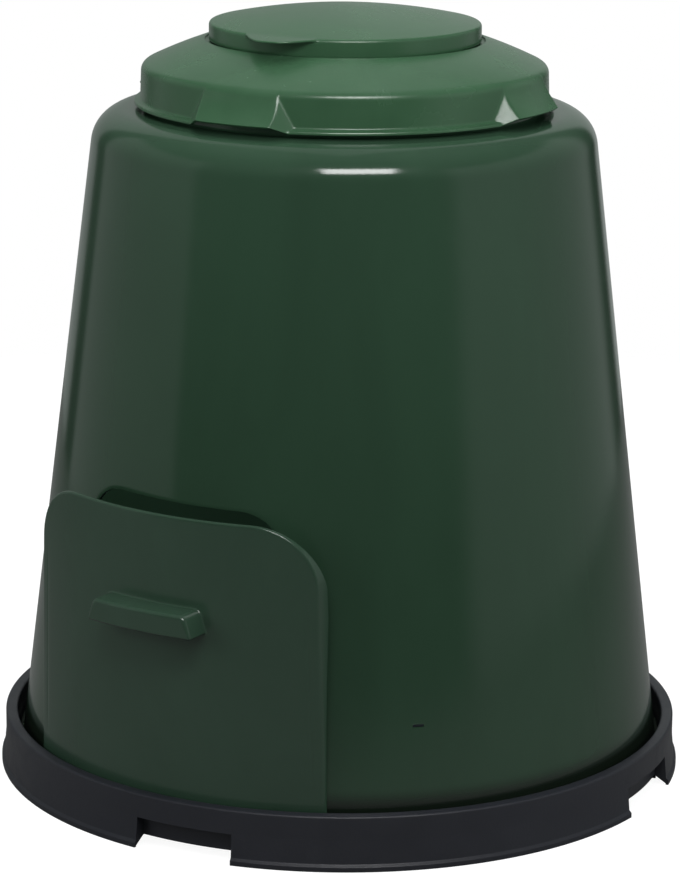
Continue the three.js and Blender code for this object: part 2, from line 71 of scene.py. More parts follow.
def roundedPath(corners, steps=4):
    # corners are (a, b, round): each inner corner becomes the arc that touches both of its sides, with the
    # points centre + (sin((1 - s) * sweep) * start + sin(s * sweep) * end) / sin(sweep)
    points = []
    for i, (a, b, size) in enumerate(corners):
        here = np.array([a, b], float)
        if size == 0 or i in (0, len(corners) - 1):
            points.append(here[None])
            continue
        back = unit(np.array(corners[i - 1][:2], float) - here)
        ahead = unit(np.array(corners[i + 1][:2], float) - here)
        half = math.acos(float(np.clip(back @ ahead, -1, 1))) / 2
        centre = here + unit(back + ahead) * size / math.sin(half)
        start = here + back * size / math.tan(half) - centre
        end = here + ahead * size / math.tan(half) - centre
        sweep = math.pi - 2 * half
        share = np.linspace(0, 1, steps + 1)[:, None]
        arc = np.sin((1 - share) * sweep) * start + np.sin(share * sweep) * end
        points.append(centre + arc / math.sin(sweep))
    return np.concatenate(points)


def trapezium(lowHalf, highHalf, bottom, top, lowRound, highRound):
    # four upright corners for softLoop, from the lower left
    return [(-lowHalf, bottom, lowRound), (lowHalf, bottom, lowRound),
            (highHalf, top, highRound), (-highHalf, top, highRound)]


def softLoop(corners, halfSteps, sideSteps):
    # closed loop of (a, b, round) corners, counter-clockwise from the middle of the first corner's arc
    count = len(corners)
    arcs = []
    for i in range(count):
        trio = [corners[i - 1], corners[i], corners[(i + 1) % count]]
        arcs.append(roundedPath(trio, 2 * halfSteps)[1:-1])
    sides = []
    for i in range(count):
        after = arcs[(i + 1) % count]
        share = np.linspace(0, 1, sideSteps[i] - 2 * halfSteps + 1)[:, None]
        straight = arcs[i][-1] + share * (after[0] - arcs[i][-1])
        sides.append(np.concatenate([arcs[i][halfSteps:-1], straight, after[1:halfSteps]]))
    return np.concatenate(sides)


def filledLoop(loop, columns, rows):
    # Coons patch: facing sides blended both ways, less the blend of the four corners
    bottom, right = loop[:columns + 1], loop[columns:columns + rows + 1]
    top = loop[columns + rows:2 * columns + rows + 1][::-1]
    left = np.concatenate([loop[2 * columns + rows:], loop[:1]])[::-1]
    u = np.linspace(0, 1, columns + 1)[None, :, None]
    v = np.linspace(0, 1, rows + 1)[:, None, None]
    between = (1 - v) * bottom[None] + v * top[None] + (1 - u) * left[:, None] + u * right[:, None]
    leftEnds = (1 - v) * bottom[0] + v * top[0]
    rightEnds = (1 - v) * bottom[-1] + v * top[-1]
    return between - ((1 - u) * leftEnds + u * rightEnds)


def blockRim(grid, block):
    # the outer edge of a block of cells, counter-clockwise from the lower left
    row, rowEnd, column, columnEnd = block
    return np.concatenate([
        grid[row, column:columnEnd], grid[row:rowEnd, columnEnd],
        grid[rowEnd, columnEnd:column:-1], grid[rowEnd:row:-1, column],
    ])


def blockKeep(grid, blocks, wrapped):
    # true for every cell outside the blocks
    keep = np.ones((grid.shape[0] - 1, grid.shape[1] - (0 if wrapped else 1)), bool)
    for row, rowEnd, column, columnEnd in blocks:
        keep[row:rowEnd, column:columnEnd] = False
    return keep


def sheet(grid, wrapped=False, keep=None, flipped=False):
    return {"grid": grid, "wrapped": wrapped, "keep": keep, "flipped": flipped}


def lifted(path, height):
    # each point of a plan, or each x, with the same height
    return np.column_stack([path, np.full(len(path), height)])


def revolved(path, turns):
    # a path of (radius, z) at every turn
    return turned(path[:, :1], turns[None], path[:, 1:])


def prism(sideA, sideB, heights):
    # walls: the loop of side A and side B reversed, raised to each height; ends: strips between the sides
    loop = np.concatenate([sideA, sideB[::-1]])
    sheets = [sheet(np.stack([lifted(loop, height) for height in heights]), wrapped=True)]
    for height, pair in ((heights[-1], (sideA, sideB)), (heights[0], (sideB, sideA))):
        sheets.append(sheet(np.stack([lifted(side, height) for side in pair])))
    return sheets


def makePiece(name, sheets, crease=meshing["crease"], thickness=0, bevel=0):
    # every sheet is a grid of points, and its cells become quads whose corners are shared
    vertices, faces, start = [], [], 0
    for part in sheets:
        grid = part["grid"]
        index = start + np.arange(grid.shape[0] * grid.shape[1]).reshape(grid.shape[:2])
        if part["wrapped"]:
            index = np.hstack([index, index[:, :1]])
        quads = np.stack([index[:-1, :-1], index[:-1, 1:], index[1:, 1:], index[1:, :-1]], axis=-1)
        quads = quads.reshape(-1, 4) if part["keep"] is None else quads[part["keep"]]
        faces.append(quads[:, ::-1] if part["flipped"] else quads)
        vertices.append(grid.reshape(-1, 3))
        start += grid.shape[0] * grid.shape[1]
    mesh = bpy.data.meshes.new(name)
    mesh.from_pydata((np.concatenate(vertices) * millimetre).tolist(), [], np.concatenate(faces).tolist())
    shape = bmesh.new()
    shape.from_mesh(mesh)
    bmesh.ops.remove_doubles(shape, verts=shape.verts, dist=meshing["weldWithin"])
    bmesh.ops.dissolve_degenerate(shape, edges=shape.edges, dist=meshing["dropUnder"])
    bmesh.ops.delete(shape, geom=[v for v in shape.verts if not v.link_faces], context="VERTS")
    shape.to_mesh(mesh)
    shape.free()
    piece = bpy.data.objects.new(name, mesh)
    bpy.context.scene.collection.objects.link(piece)
    if thickness:
        wall = piece.modifiers.new("wall", "SOLIDIFY")
        wall.thickness, wall.offset, wall.use_even_offset = thickness * millimetre, -1, True
    if bevel:
        edge = piece.modifiers.new("edge", "BEVEL")
        edge.width, edge.segments, edge.limit_method = bevel * millimetre, meshing["bevelSteps"], "ANGLE"
        edge.angle_limit = math.radians(meshing["bevelFrom"])
        edge.use_clamp_overlap = True
    if piece.modifiers:
        bpy.context.view_layer.update()
        evaluated = piece.evaluated_get(bpy.context.evaluated_depsgraph_get())
        finished = bpy.data.meshes.new_from_object(evaluated)
        piece.modifiers.clear()
        piece.data = finished
    piece.data.shade_smooth()
    piece.data.set_sharp_from_angle(angle=math.radians(crease))
    print("piece", name, len(piece.data.polygons), "faces")
    return piece


# Ground ring

groundRing = {
    "lipRadius": 369.6, "lipHeight": 5.0, "lipUnder": 2.5, "lipRound": 1.3,
    "skirtRadius": 366.9, "skirtFoot": 7.4, "skirtRound": 2.2, "outerRadius": 364.5, "straightHeight": 33.0,
    "innerRadius": 351.5, "innerSeam": 46.0, "height": 57.0, "topRound": 2.6, "cornerRound": 1.5, "wall": 3.0,
    "shelfRadius": 318.0, "shelfTop": 13.0, "shelfUnder": 10.0, "shelfRound": 0.8, "upperSteps": 5,
    "notches": 4, "notchTurn": 7.4, "notchAngle": 17.0, "notchHeight": 31.5,
    "webFoot": 0.5, "webRise": 6.0, "webLipInset": 1.6,
    "ribs": 16, "ribThickness": 3.0, "ribFoot": 0.2, "ribTop": 11.5, "ribInset": 3.0, "ribOverrun": 1.0,
    "columns": 52, "notchColumns": 12, "crease": 32,
}


def radialPlate(turn, thickness, inner, outer):
    # upright plate along a radius between an inner and an outer path of (R, z): both faces, and their rim
    side = turned(thickness / 2, turn + 90, 0)
    faces = []
    for sign in (-1, 1):
        faces.append(np.stack([turned(path[:, 0], turn, path[:, 1]) + sign * side for path in (inner, outer)]))
    rims = [np.concatenate([face[0], face[1][::-1]]) for face in faces]
    return [sheet(faces[0]), sheet(faces[1], flipped=True), sheet(np.stack(rims), wrapped=True, flipped=True)]


def groundRingSheets():
    g = SimpleNamespace(**groundRing)
    wall = g.wall
    slope = (g.skirtRadius - g.outerRadius) / (g.straightHeight - g.skirtFoot)
    notchRadius = g.outerRadius + slope * (g.straightHeight - g.notchHeight)

    def skirtPath(inset, lipCorner):
        return roundedPath([
            (g.lipRadius - inset, 0, 0), (g.lipRadius - inset, lipCorner, g.lipRound),
            (g.skirtRadius - inset, g.skirtFoot, g.skirtRound),
            (notchRadius - inset, g.notchHeight, 0),
        ])

    outside, inside = skirtPath(0, g.lipHeight), skirtPath(wall, g.lipUnder)
    channelIn, channelOut, roof = g.innerRadius + wall, g.outerRadius - wall, g.height - wall
    upper = roundedPath([
        (notchRadius, g.notchHeight, 0), (g.outerRadius, g.straightHeight, 0),
        (g.outerRadius, g.height, g.topRound), (g.innerRadius, g.height, g.topRound),
        (g.innerRadius, g.innerSeam, 0), (g.innerRadius, g.shelfTop, g.cornerRound),
        (g.shelfRadius, g.shelfTop, g.shelfRound), (g.shelfRadius, g.shelfUnder, g.shelfRound),
        (channelIn, g.shelfUnder, g.shelfRound), (channelIn, roof, g.cornerRound),
        (channelOut, roof, g.cornerRound), (channelOut, g.straightHeight, 0),
        (notchRadius - wall, g.notchHeight, 0),
    ], g.upperSteps)
    full = np.concatenate([outside[:-1], upper, inside[::-1][1:], outside[:1]])
    notched = np.concatenate([upper, upper[:1]])
    # the web at each side of a notch joins the skirt to the channel's inner wall
    middle, skin, webTop = g.innerRadius + wall / 2, g.outerRadius - wall / 2, g.height - wall / 2
    webIn = np.array([(middle, g.shelfUnder + g.webFoot), (middle, g.skirtFoot + g.webRise),
                      (middle, g.straightHeight), (middle, webTop)])
    webOut = np.array([(g.lipRadius - g.webLipInset, g.webFoot),
                       (g.skirtRadius - wall / 2, g.skirtFoot),
                       (skin, g.straightHeight), (skin, webTop)])
    half, pitch = g.notchAngle / 2, 360 / g.notches
    lean = half + math.degrees(wall / 2 / g.outerRadius)
    sheets = []
    for i in range(g.notches):
        turn = g.notchTurn + i * pitch
        solidTurns = np.linspace(turn + half, turn + pitch - half, g.columns + 1)
        notchTurns = np.linspace(turn - half, turn + half, g.notchColumns + 1)
        for path, turns in ((full, solidTurns), (notched, notchTurns)):
            sheets.append(sheet(revolved(path, turns)))
        for edge, flipped in ((turn - half, False), (turn + half, True)):
            cap = np.stack([turned(path[:, 0], edge, path[:, 1]) for path in (outside, inside)])
            sheets.append(sheet(cap, flipped=flipped))
        for side in (-1, 1):
            sheets += radialPlate(turn + side * lean, wall, webIn, webOut)
    ribs = [np.array([(radius, g.ribFoot), (radius, g.ribTop)])
            for radius in (g.shelfRadius + g.ribInset, g.innerRadius + g.ribOverrun)]
    for i in range(g.ribs):
        sheets += radialPlate(g.notchTurn + (i + 0.5) * 360 / g.ribs, g.ribThickness, *ribs)
    return sheets


# Bin body, with its doorway, vent slot, hatch sill, hatch rails and screw bosses

binBody = {
    "footRadius": 349.4, "footHeight": 13.3, "footRound": 1.5, "bandHeight": 33.0, "bandRound": 1.0,
    "sillHeight": 46.0, "lowRadius": 344.0, "wall": 3.0, "edgeRound": 0.6,
    "shoulderRadius": 266.2, "shoulderHeight": 679.0, "shoulderRound": 38.0, "topSlope": 0.06,
    "shoulderSteps": 17, "neckRadius": 208.0, "neckTop": 756.8, "neckRound": 3.0, "neckSteps": 6,
    "neckSeam": 730.0, "columns": 240, "rowStep": 12.0, "firstRow": 50.0, "footGap": 0.1, "coneGap": 4.0,
    "doorHalfWidth": 118.0, "doorBottom": 60.0, "doorTop": 351.0, "doorFootRound": 3.0, "doorRound": 45.0,
    "doorBlockTurn": 30.0, "doorBlockRows": 28, "doorSteps": 5,
    "ventTurn": 46.8, "ventHeight": 139.0, "ventWidth": 11.6, "ventDepth": 3.0, "ventRound": 1.2,
    "ventSteps": 1, "ventBlockTurns": (43.5, 49.5), "ventBlockRows": (6, 9), "rimRows": 9, "rimPower": 0.8,
}
binBody["taper"] = ((binBody["lowRadius"] - binBody["shoulderRadius"])
                    / (binBody["shoulderHeight"] - binBody["sillHeight"]))
hatchSill = {"halfWidth": 182.5, "sunk": 1.5, "round": 1.0, "columns": 49, "endInset": 1.0}
hatchRail = {
    "inner": 128.0, "outer": 146.0, "wall": 3.0, "front": -308.6, "bottom": 150.0, "top": 325.0, "rows": 18,
    "round": 0.9, "tipStep": 0.6, "sunk": 1.5,
}
screwBoss = {
    "circle": 341.0, "radius": 7.0, "hole": 2.3, "holeTop": 27.8, "bottom": 13.4, "top": 31.5, "chamfer": 0.8,
    "firstTurn": 52.4, "count": 4, "columns": 32,
}


def bodyRadius(height):
    # straight taper from the sill to the start of the shoulder
    return binBody["lowRadius"] - binBody["taper"] * (height - binBody["sillHeight"])


def binBodySheets():
    b = SimpleNamespace(**binBody)
    footEnd = b.firstRow - b.footGap
    foot = roundedPath([
        (b.footRadius, b.footHeight, 0), (b.footRadius, b.bandHeight, b.footRound),
        (bodyRadius(b.bandHeight), b.bandHeight, b.bandRound), (bodyRadius(footEnd), footEnd, 0),
    ])[:-1]
    tall = np.arange(b.firstRow, b.shoulderHeight - b.coneGap, b.rowStep)
    cone = np.column_stack([bodyRadius(tall), tall])
    # shoulder: an arc that touches the cone and the nearly level top
    size, start, end = b.shoulderRound, math.atan(b.taper), math.pi / 2 - math.atan(b.topSlope)
    angle = np.linspace(start, end, b.shoulderSteps)
    centreRadius = b.shoulderRadius - size * math.cos(start)
    centreHeight = b.shoulderHeight - size * math.sin(start)
    shoulder = np.column_stack([centreRadius + size * np.cos(angle), centreHeight + size * np.sin(angle)])
    lastRadius, lastHeight = shoulder[-1]
    neckFoot = lastHeight + b.topSlope * (lastRadius - b.neckRadius)
    neck = roundedPath([
        (lastRadius, lastHeight, 0), (b.neckRadius, neckFoot, b.neckRound),
        (b.neckRadius, b.neckSeam, 0), (b.neckRadius, b.neckTop, 0),
    ], b.neckSteps)[1:]
    profile = np.concatenate([foot, cone, shoulder, neck])
    turns = np.arange(b.columns) * 360 / b.columns - 180
    grid = revolved(profile, turns)
    flat = np.stack(np.broadcast_arrays(turns[None], profile[:, 1:]), axis=-1)

    def blockAt(turns, rows):
        columns = [int(round((turn + 180) / (360 / b.columns))) for turn in turns]
        return (len(foot) + rows[0], len(foot) + rows[1], *columns)

    def opening(block, halfWidth, bottom, top, rounds, steps):
        # a loop with as many points as the block's rim
        corners = trapezium(halfWidth, halfWidth, bottom, top, *rounds)
        return softLoop(corners, steps, (block[3] - block[2], block[1] - block[0]) * 2)

    doorBlock = blockAt((-b.doorBlockTurn, b.doorBlockTurn), (0, b.doorBlockRows))
    ventBlock = blockAt(b.ventBlockTurns, b.ventBlockRows)
    door = opening(doorBlock, b.doorHalfWidth, b.doorBottom, b.doorTop,
                   (b.doorFootRound, b.doorRound), b.doorSteps)
    doorTurns = np.column_stack([np.degrees(np.arcsin(door[:, 0] / bodyRadius(door[:, 1]))), door[:, 1]])
    halfWidth, halfDepth = b.ventWidth / 2, b.ventDepth / 2
    toTurn = np.degrees(halfWidth / bodyRadius(b.ventHeight)) / halfWidth
    vent = opening(ventBlock, halfWidth, b.ventHeight - halfDepth, b.ventHeight + halfDepth,
                   (b.ventRound, b.ventRound), b.ventSteps)
    ventTurns = np.column_stack([b.ventTurn + vent[:, 0] * toTurn, vent[:, 1]])
    sheets = [sheet(grid, wrapped=True, keep=blockKeep(grid, (doorBlock, ventBlock), True))]
    for block, edge in ((doorBlock, doorTurns), (ventBlock, ventTurns)):
        # rows from the block's rim to the opening: rim + share * (edge - rim), laid back on the taper
        rim = blockRim(flat, block)
        share = (np.linspace(0, 1, b.rimRows) ** b.rimPower)[:, None, None]
        spread = rim[None] + share * (edge - rim)[None]
        sheets.append(sheet(turned(bodyRadius(spread[..., 1]), spread[..., 0], spread[..., 1]), wrapped=True))
    return sheets


def hatchSillSheets():
    # ledge that the hatch stands on: an arc of the foot's radius, closed by a rounded top edge
    b, s = SimpleNamespace(**binBody), SimpleNamespace(**hatchSill)
    root, low, high = b.lowRadius - s.sunk, b.bandHeight - s.sunk, b.sillHeight
    path = roundedPath([(root, low, 0), (b.footRadius, low, 0), (b.footRadius, high, s.round),
                        (root, high, 0)])
    half = np.degrees(np.arcsin(s.halfWidth / b.footRadius))
    turns = np.linspace(-half, half, s.columns)
    loop = revolved(path, turns)
    sheets = [sheet(loop), sheet(revolved(np.array([(root, high), (root, low)]), turns))]
    for column, flipped in ((0, False), (-1, True)):
        rim = np.concatenate([loop[:, column], loop[:1, column]])
        centre = turned(root + s.endInset, turns[column], b.bandHeight)
        sheets.append(sheet(np.stack([rim, np.broadcast_to(centre, rim.shape)]), flipped=flipped))
    return sheets


def hatchRailSheets():
    # an L in plan whose back edge follows the inside of the body as it rises
    r = SimpleNamespace(**hatchRail)
    heights = np.linspace(r.bottom, r.top, r.rows + 1)

    def plan(offset, step):
        path = roundedPath([(r.inner + offset, 0, 0), (r.inner + offset, r.front + offset, r.round),
                            (r.outer, r.front + offset, 0)])
        return np.concatenate([path, [[r.outer, r.front + offset + step]]])

    def raised(path, side):
        # the first point's y = -sqrt((bodyRadius(z) - sunk)^2 - x^2), and the others keep their y
        x = np.broadcast_to(path[:, 0], (len(heights), len(path)))
        z = np.broadcast_to(heights[:, None], x.shape)
        back = -np.sqrt((bodyRadius(z) - r.sunk) ** 2 - x ** 2)
        y = np.where(np.arange(len(path))[None] == 0, back, path[:, 1][None])
        return np.stack([side * x, y, z], axis=-1)

    sheets = []
    for side in (-1, 1):
        a, b = raised(plan(0, r.tipStep), side), raised(plan(r.wall, -r.tipStep), side)
        sheets.append(sheet(np.concatenate([a, b[:, ::-1]], axis=1), wrapped=True, flipped=side < 0))
        for pair in ((a[-1], b[-1]), (b[0], a[0])):
            sheets.append(sheet(np.stack(pair), flipped=side < 0))
    return sheets


def screwBossSheets():
    # posts round upright axes: outer wall, flat top, and the hole with its end
    s = SimpleNamespace(**screwBoss)
    outer = np.array([[s.hole, s.bottom], [s.radius, s.bottom],
                      [s.radius, s.top - s.chamfer], [s.radius - s.chamfer, s.top],
                      [0, s.top]])
    hole = np.array([[0, s.holeTop], [s.hole, s.holeTop], [s.hole, s.bottom]])
    turns = np.arange(s.columns) * 360 / s.columns
    sheets = []
    for i in range(s.count):
        centre = turned(s.circle, s.firstTurn + i * 360 / s.count, 0)
        for path in (outer, hole):
            sheets.append(sheet(revolved(path, turns) + centre, wrapped=True))
    return sheets


# Hatch, with its handle and hooks

hatch = {
    "radius": 348.0, "wall": 3.0, "bottom": 46.3, "cornerStart": 285.5, "round": 64.0,
    "highHalf": 171.0, "lowHalf": 178.5, "edgeRound": 2.2, "edgeSteps": 6, "margin": 18.0,
    "flangeHeights": (46, 110, 150, 190, 222, 255, 285, 300, 318, 333, 345, 350),
    "flangeDepths": (3.6, 6.0, 8.0, 10.8, 14.5, 17.0, 17.0, 12.5, 8.2, 6.0, 4.4, 4.0),
    "flangeLeast": 0.3, "flangeFoot": 1.0, "rootStep": 1.5, "rootRise": 1.2, "tipInner": (0.6, 0.25),
    "tipOuter": 0.7, "faceInsets": (4.0, 7.5),
    "sinkInset": 11.0, "sinkWidth": 1.3, "sinkDepth": 0.4, "sinkShares": (-2.5, -1.2, -0.6, 0, 0.6, 1.2, 2.4),
    "sinkFoot": (66, 84), "sinkHead": (262, 285), "columns": 40, "sideRows": 24, "cornerRows": 14,
}
handle = {
    "faceRadius": 376.0, "wall": 3.0, "bottom": 232.8, "top": 257.4, "lowHalf": 64.0, "highHalf": 56.5,
    "cornerRound": 9.0, "footRound": 2.4, "rootRound": 2.0, "rootSteps": 5, "edgeRound": 3.6, "edgeSteps": 6,
    "pocketRound": 1.2, "pocketShares": (0, 0.3, 0.6, 0.94), "block": (16, 23, 9, 31), "rimRows": 6,
    "cornerSteps": 3,
}
hatchHook = {
    "railOuter": 146.0, "sidePlay": 2.0, "wall": 3.0, "toeFront": -305.1, "toeBack": -302.6, "grip": 9.0,
    "low": (155.0, 295.0), "height": 25.0, "sunk": 1.5, "outerRound": 0.9, "innerRound": 0.5, "endStep": 0.8,
}


def quarterRound(size, steps):
    # size * (1 - cos(angle)) and size * (1 - sin(angle)) over a quarter turn
    angles = np.radians(np.linspace(0, 90, steps))
    return [(size * (1 - math.cos(angle)), size * (1 - math.sin(angle))) for angle in angles]


def hatchLoop(inset):
    # outline in x and z, drawn in by the inset: bottom, right side and corner, top, left corner and side
    h = SimpleNamespace(**hatch)
    bottom, size = h.bottom + inset, h.round - inset
    low, high = h.lowHalf - inset, h.highHalf - inset
    up = np.linspace(0, 1, h.sideRows + 1)[:-1]
    arc = np.radians(np.linspace(0, 90, h.cornerRows + 1))
    across = np.linspace(-1, 1, h.columns + 1)[:-1]
    right = np.column_stack([
        np.concatenate([low + (high - low) * up, high - size + size * np.cos(arc)]),
        np.concatenate([bottom + (h.cornerStart - bottom) * up, h.cornerStart + size * np.sin(arc)]),
    ])
    return np.concatenate([
        lifted(low * across, bottom), right[:-1], lifted(-right[-1, 0] * across, right[-1, 1]),
        (right * [-1, 1])[::-1][:-1],
    ])


def onCylinder(outline, radius):
    # a point of the outline carried along Y to a cylinder about Z: y = -sqrt(radius^2 - x^2)
    x, z = outline[..., 0], outline[..., 1]
    return np.stack([x, -np.sqrt(radius ** 2 - x ** 2), z], axis=-1)


def flangeReach(outline):
    # the panel's own depth and the flange's depth behind its face, which is deepest just under the corners
    h = SimpleNamespace(**hatch)
    x, z = np.abs(outline[:, 0]), outline[:, 1]
    thick = np.sqrt(h.radius ** 2 - x ** 2) - np.sqrt((h.radius - h.wall) ** 2 - x ** 2)
    deep = np.interp(z, h.flangeHeights, h.flangeDepths)
    deep = np.where(z > h.bottom + h.flangeFoot, deep, 0)
    return thick, np.maximum(thick + h.flangeLeast, deep)


def panelRows():
    # (inset, depth behind the face) from the back of the panel round its edge to the front
    h = SimpleNamespace(**hatch)
    edge = hatchLoop(0)
    thick, reach = flangeReach(edge)
    rise = np.minimum(h.rootRise, 0.5 * (reach - thick))
    rows = [(h.margin, thick), (h.wall + h.rootStep, thick), (h.wall, thick + rise),
            (h.wall, reach - h.tipInner[1]), (h.wall - h.tipInner[0], reach),
            (h.tipOuter, reach), (0, reach - h.tipOuter)]
    # front edge: a quarter circle from the side wall to the face
    rows += quarterRound(h.edgeRound, h.edgeSteps)
    # sink line along the sides: sinkDepth * exp(-((inset - sinkInset) / sinkWidth)^2)
    onSide = smoothStep(*h.sinkFoot, edge[:, 1]) * (1 - smoothStep(*h.sinkHead, edge[:, 1]))
    sinkInsets = h.sinkInset + h.sinkWidth * np.array(h.sinkShares)
    for inset in (*h.faceInsets, *sinkInsets, h.margin):
        share = (inset - h.sinkInset) / h.sinkWidth
        rows.append((inset, onSide * h.sinkDepth * math.exp(-share ** 2)))
    return rows


def hatchSheets():
    h, k = SimpleNamespace(**hatch), SimpleNamespace(**handle)
    back = h.radius - h.wall
    band = []
    for inset, depth in panelRows():
        ring = onCylinder(hatchLoop(inset), h.radius)
        ring[:, 1] += depth
        band.append(ring)
    # the first row lies on the panel's inner cylinder
    band[0] = onCylinder(hatchLoop(h.margin), back)
    sheets = [sheet(np.stack(band), wrapped=True)]
    inner = filledLoop(hatchLoop(h.margin), h.columns, h.sideRows + h.cornerRows)
    keep = blockKeep(inner, (k.block,), False)
    sheets.append(sheet(onCylinder(inner, h.radius), keep=keep))
    sheets.append(sheet(onCylinder(inner, back), keep=keep, flipped=True))
    blockColumns, blockRows = k.block[3] - k.block[2], k.block[1] - k.block[0]

    def handleLoop(grow):
        corners = trapezium(k.lowHalf + grow, k.highHalf + grow, k.bottom - grow, k.top + grow,
                            k.footRound + grow, k.cornerRound + grow)
        return softLoop(corners, k.cornerSteps, (blockColumns, blockRows) * 2)

    def between(outline, share, base, face):
        # from the panel's cylinder to the handle's: (1 - share) * base + share * face
        return (1 - share) * onCylinder(outline, base) + share * onCylinder(outline, face)

    rim = blockRim(inner, k.block)
    share = np.linspace(0, 1, k.rimRows)[:, None, None]
    root, mouth = handleLoop(k.rootRound), handleLoop(-k.wall)
    sheets.append(sheet(onCylinder(rim[None] + share * (root - rim)[None], h.radius), wrapped=True))
    proud = k.faceRadius - h.radius
    # (growth of the outline, share of the way out): a hollow quarter circle at the panel, and a full one at
    # the handle's face
    walls = [(b, a / proud) for a, b in quarterRound(k.rootRound, k.rootSteps)]
    walls += [(-a, 1 - b / proud) for a, b in quarterRound(k.edgeRound, k.edgeSteps)]
    sheets.append(sheet(np.stack([between(handleLoop(g), s, h.radius, k.faceRadius) for g, s in walls]),
                        wrapped=True))
    face = filledLoop(handleLoop(-k.edgeRound), blockColumns, blockRows)
    sheets.append(sheet(onCylinder(face, k.faceRadius)))
    # pocket behind the handle, open to the back of the panel
    deep = k.faceRadius - k.wall
    sheets.append(sheet(onCylinder(rim[None] + share * (mouth - rim)[None], back), wrapped=True, flipped=True))
    floorLoop = handleLoop(-k.wall - k.pocketRound)
    pocket = [between(mouth, s, back, deep) for s in k.pocketShares] + [onCylinder(floorLoop, deep)]
    sheets.append(sheet(np.stack(pocket), wrapped=True, flipped=True))
    sheets.append(sheet(onCylinder(filledLoop(floorLoop, blockColumns, blockRows), deep), flipped=True))
    return sheets


def hatchHookSheets():
    # an L in plan: a web off the back of the hatch and a toe behind the rail
    k = SimpleNamespace(**hatchHook)
    near = k.railOuter + k.sidePlay
    root = -math.sqrt((hatch["radius"] - hatch["wall"]) ** 2 - near ** 2) - k.sunk
    tip, far = k.railOuter - k.grip, near + k.wall
    outer = roundedPath([(far, root, 0), (far, k.toeBack, k.outerRound), (tip, k.toeBack, 0)])
    inner = roundedPath([(near, root, 0), (near, k.toeFront, k.innerRound), (tip, k.toeFront, 0)])
    sheets = []
    for side in (-1, 1):
        for low in k.low:
            heights = [low, low + k.endStep, low + k.height - k.endStep, low + k.height]
            for part in prism(outer * [side, 1], inner * [side, 1], heights):
                sheets.append({**part, "flipped": side < 0})
    return sheets


# Lid

lid = {
    "collarOuter": 139.0, "collarTop": 799.6, "grooveFloor": 782.3, "grooveRound": 1.5, "coneTop": 146.5,
    "rimRound": 1.0, "rimStep": 2.5, "coneRows": 16, "foldRadius": 213.2, "foldHeight": 757.8, "rise": 27.5,
    "crown": 1.4, "foldReach": 5.5, "foldRows": 9, "foldEase": (0.2, 0.1), "skirtBottom": 718.3,
    "foldDraft": 0.1, "footDraft": 1.3, "hollowRise": 4.6, "hollowRound": 3.0, "lipRadius": 220.8,
    "lipDraft": 0.2, "lipRise": 2.6, "lipRound": 1.1, "skirtSteps": 10, "wall": 3.0, "edgeRound": 0.5,
    "grips": 4, "gripTurn": 3.4, "gripSpan": 18.0, "gripEdge": 17.0, "topAngle": 11.1, "cornerAngle": 10.6,
    "sideAngle": 15.1, "kick": 19.4, "straightShare": 0.45, "edgeHeight": 725.8, "facetEase": 0.8,
    "gripEase": 0.9, "facetLimit": 30, "skirtShares": (0.66, 12, 14), "plainColumns": 36, "gripColumns": 120,
}


def lidHeight(radius):
    # straight cone above the fold plus a parabola of the crown's height
    share = (lid["foldRadius"] - radius) / (lid["foldRadius"] - lid["coneTop"])
    return lid["foldHeight"] + lid["rise"] * share + 4 * lid["crown"] * share * (1 - share)


def plainSkirt(height):
    # skirt radius at a height: slight draft, a hollow sweep and a rounded lip
    p = SimpleNamespace(**lid)
    low = p.skirtBottom
    path = roundedPath([
        (p.foldRadius + p.foldDraft, p.foldHeight, 0),
        (p.foldRadius + p.footDraft, low + p.hollowRise, p.hollowRound),
        (p.lipRadius - p.lipDraft, low + p.lipRise, p.lipRound), (p.lipRadius, low, 0),
    ], p.skirtSteps)[::-1]
    return np.interp(height, path[:, 1], path[:, 0])


def gripRadius(turn, height):
    # least of the grip's hollow sloping face and its two three-cornered facets, each a plane met along the
    # radius: (n . corner - nz * height) / (nx * sin(turn) + ny * cos(turn))
    p = SimpleNamespace(**lid)
    drop = (p.foldHeight - height) / (p.foldHeight - p.edgeHeight)
    face = p.foldRadius + p.kick * drop * (p.straightShare + (1 - p.straightShare) * drop)
    corners = np.array([(p.foldRadius, p.topAngle, p.foldHeight),
                        (p.foldRadius + p.kick, p.cornerAngle, p.edgeHeight),
                        (p.lipRadius, p.sideAngle, p.skirtBottom)])
    spots = turned(corners[:, 0], corners[:, 1], corners[:, 2]) * [1, -1, 1]
    normal = np.cross(spots[1] - spots[0], spots[2] - spots[0])
    angle = np.radians(np.abs(turn))
    facet = (normal @ spots[0] - normal[2] * height) / (normal[0] * np.sin(angle) + normal[1] * np.cos(angle))
    soft = np.sqrt((face - facet) ** 2 + p.facetEase ** 2)
    return np.where(np.abs(turn) < p.facetLimit, 0.5 * (face + facet - soft), 0)


def lidTurns():
    # columns close together over each grip and wider between them
    p = SimpleNamespace(**lid)
    span, pitch = p.gripSpan, 360 / p.grips
    turns = []
    for i in range(p.grips):
        centre = p.gripTurn + i * pitch
        turns.append(np.linspace(centre - span, centre + span, p.gripColumns + 1)[:-1])
        turns.append(np.linspace(centre + span, centre + pitch - span, p.plainColumns + 1)[:-1])
    return np.concatenate(turns)


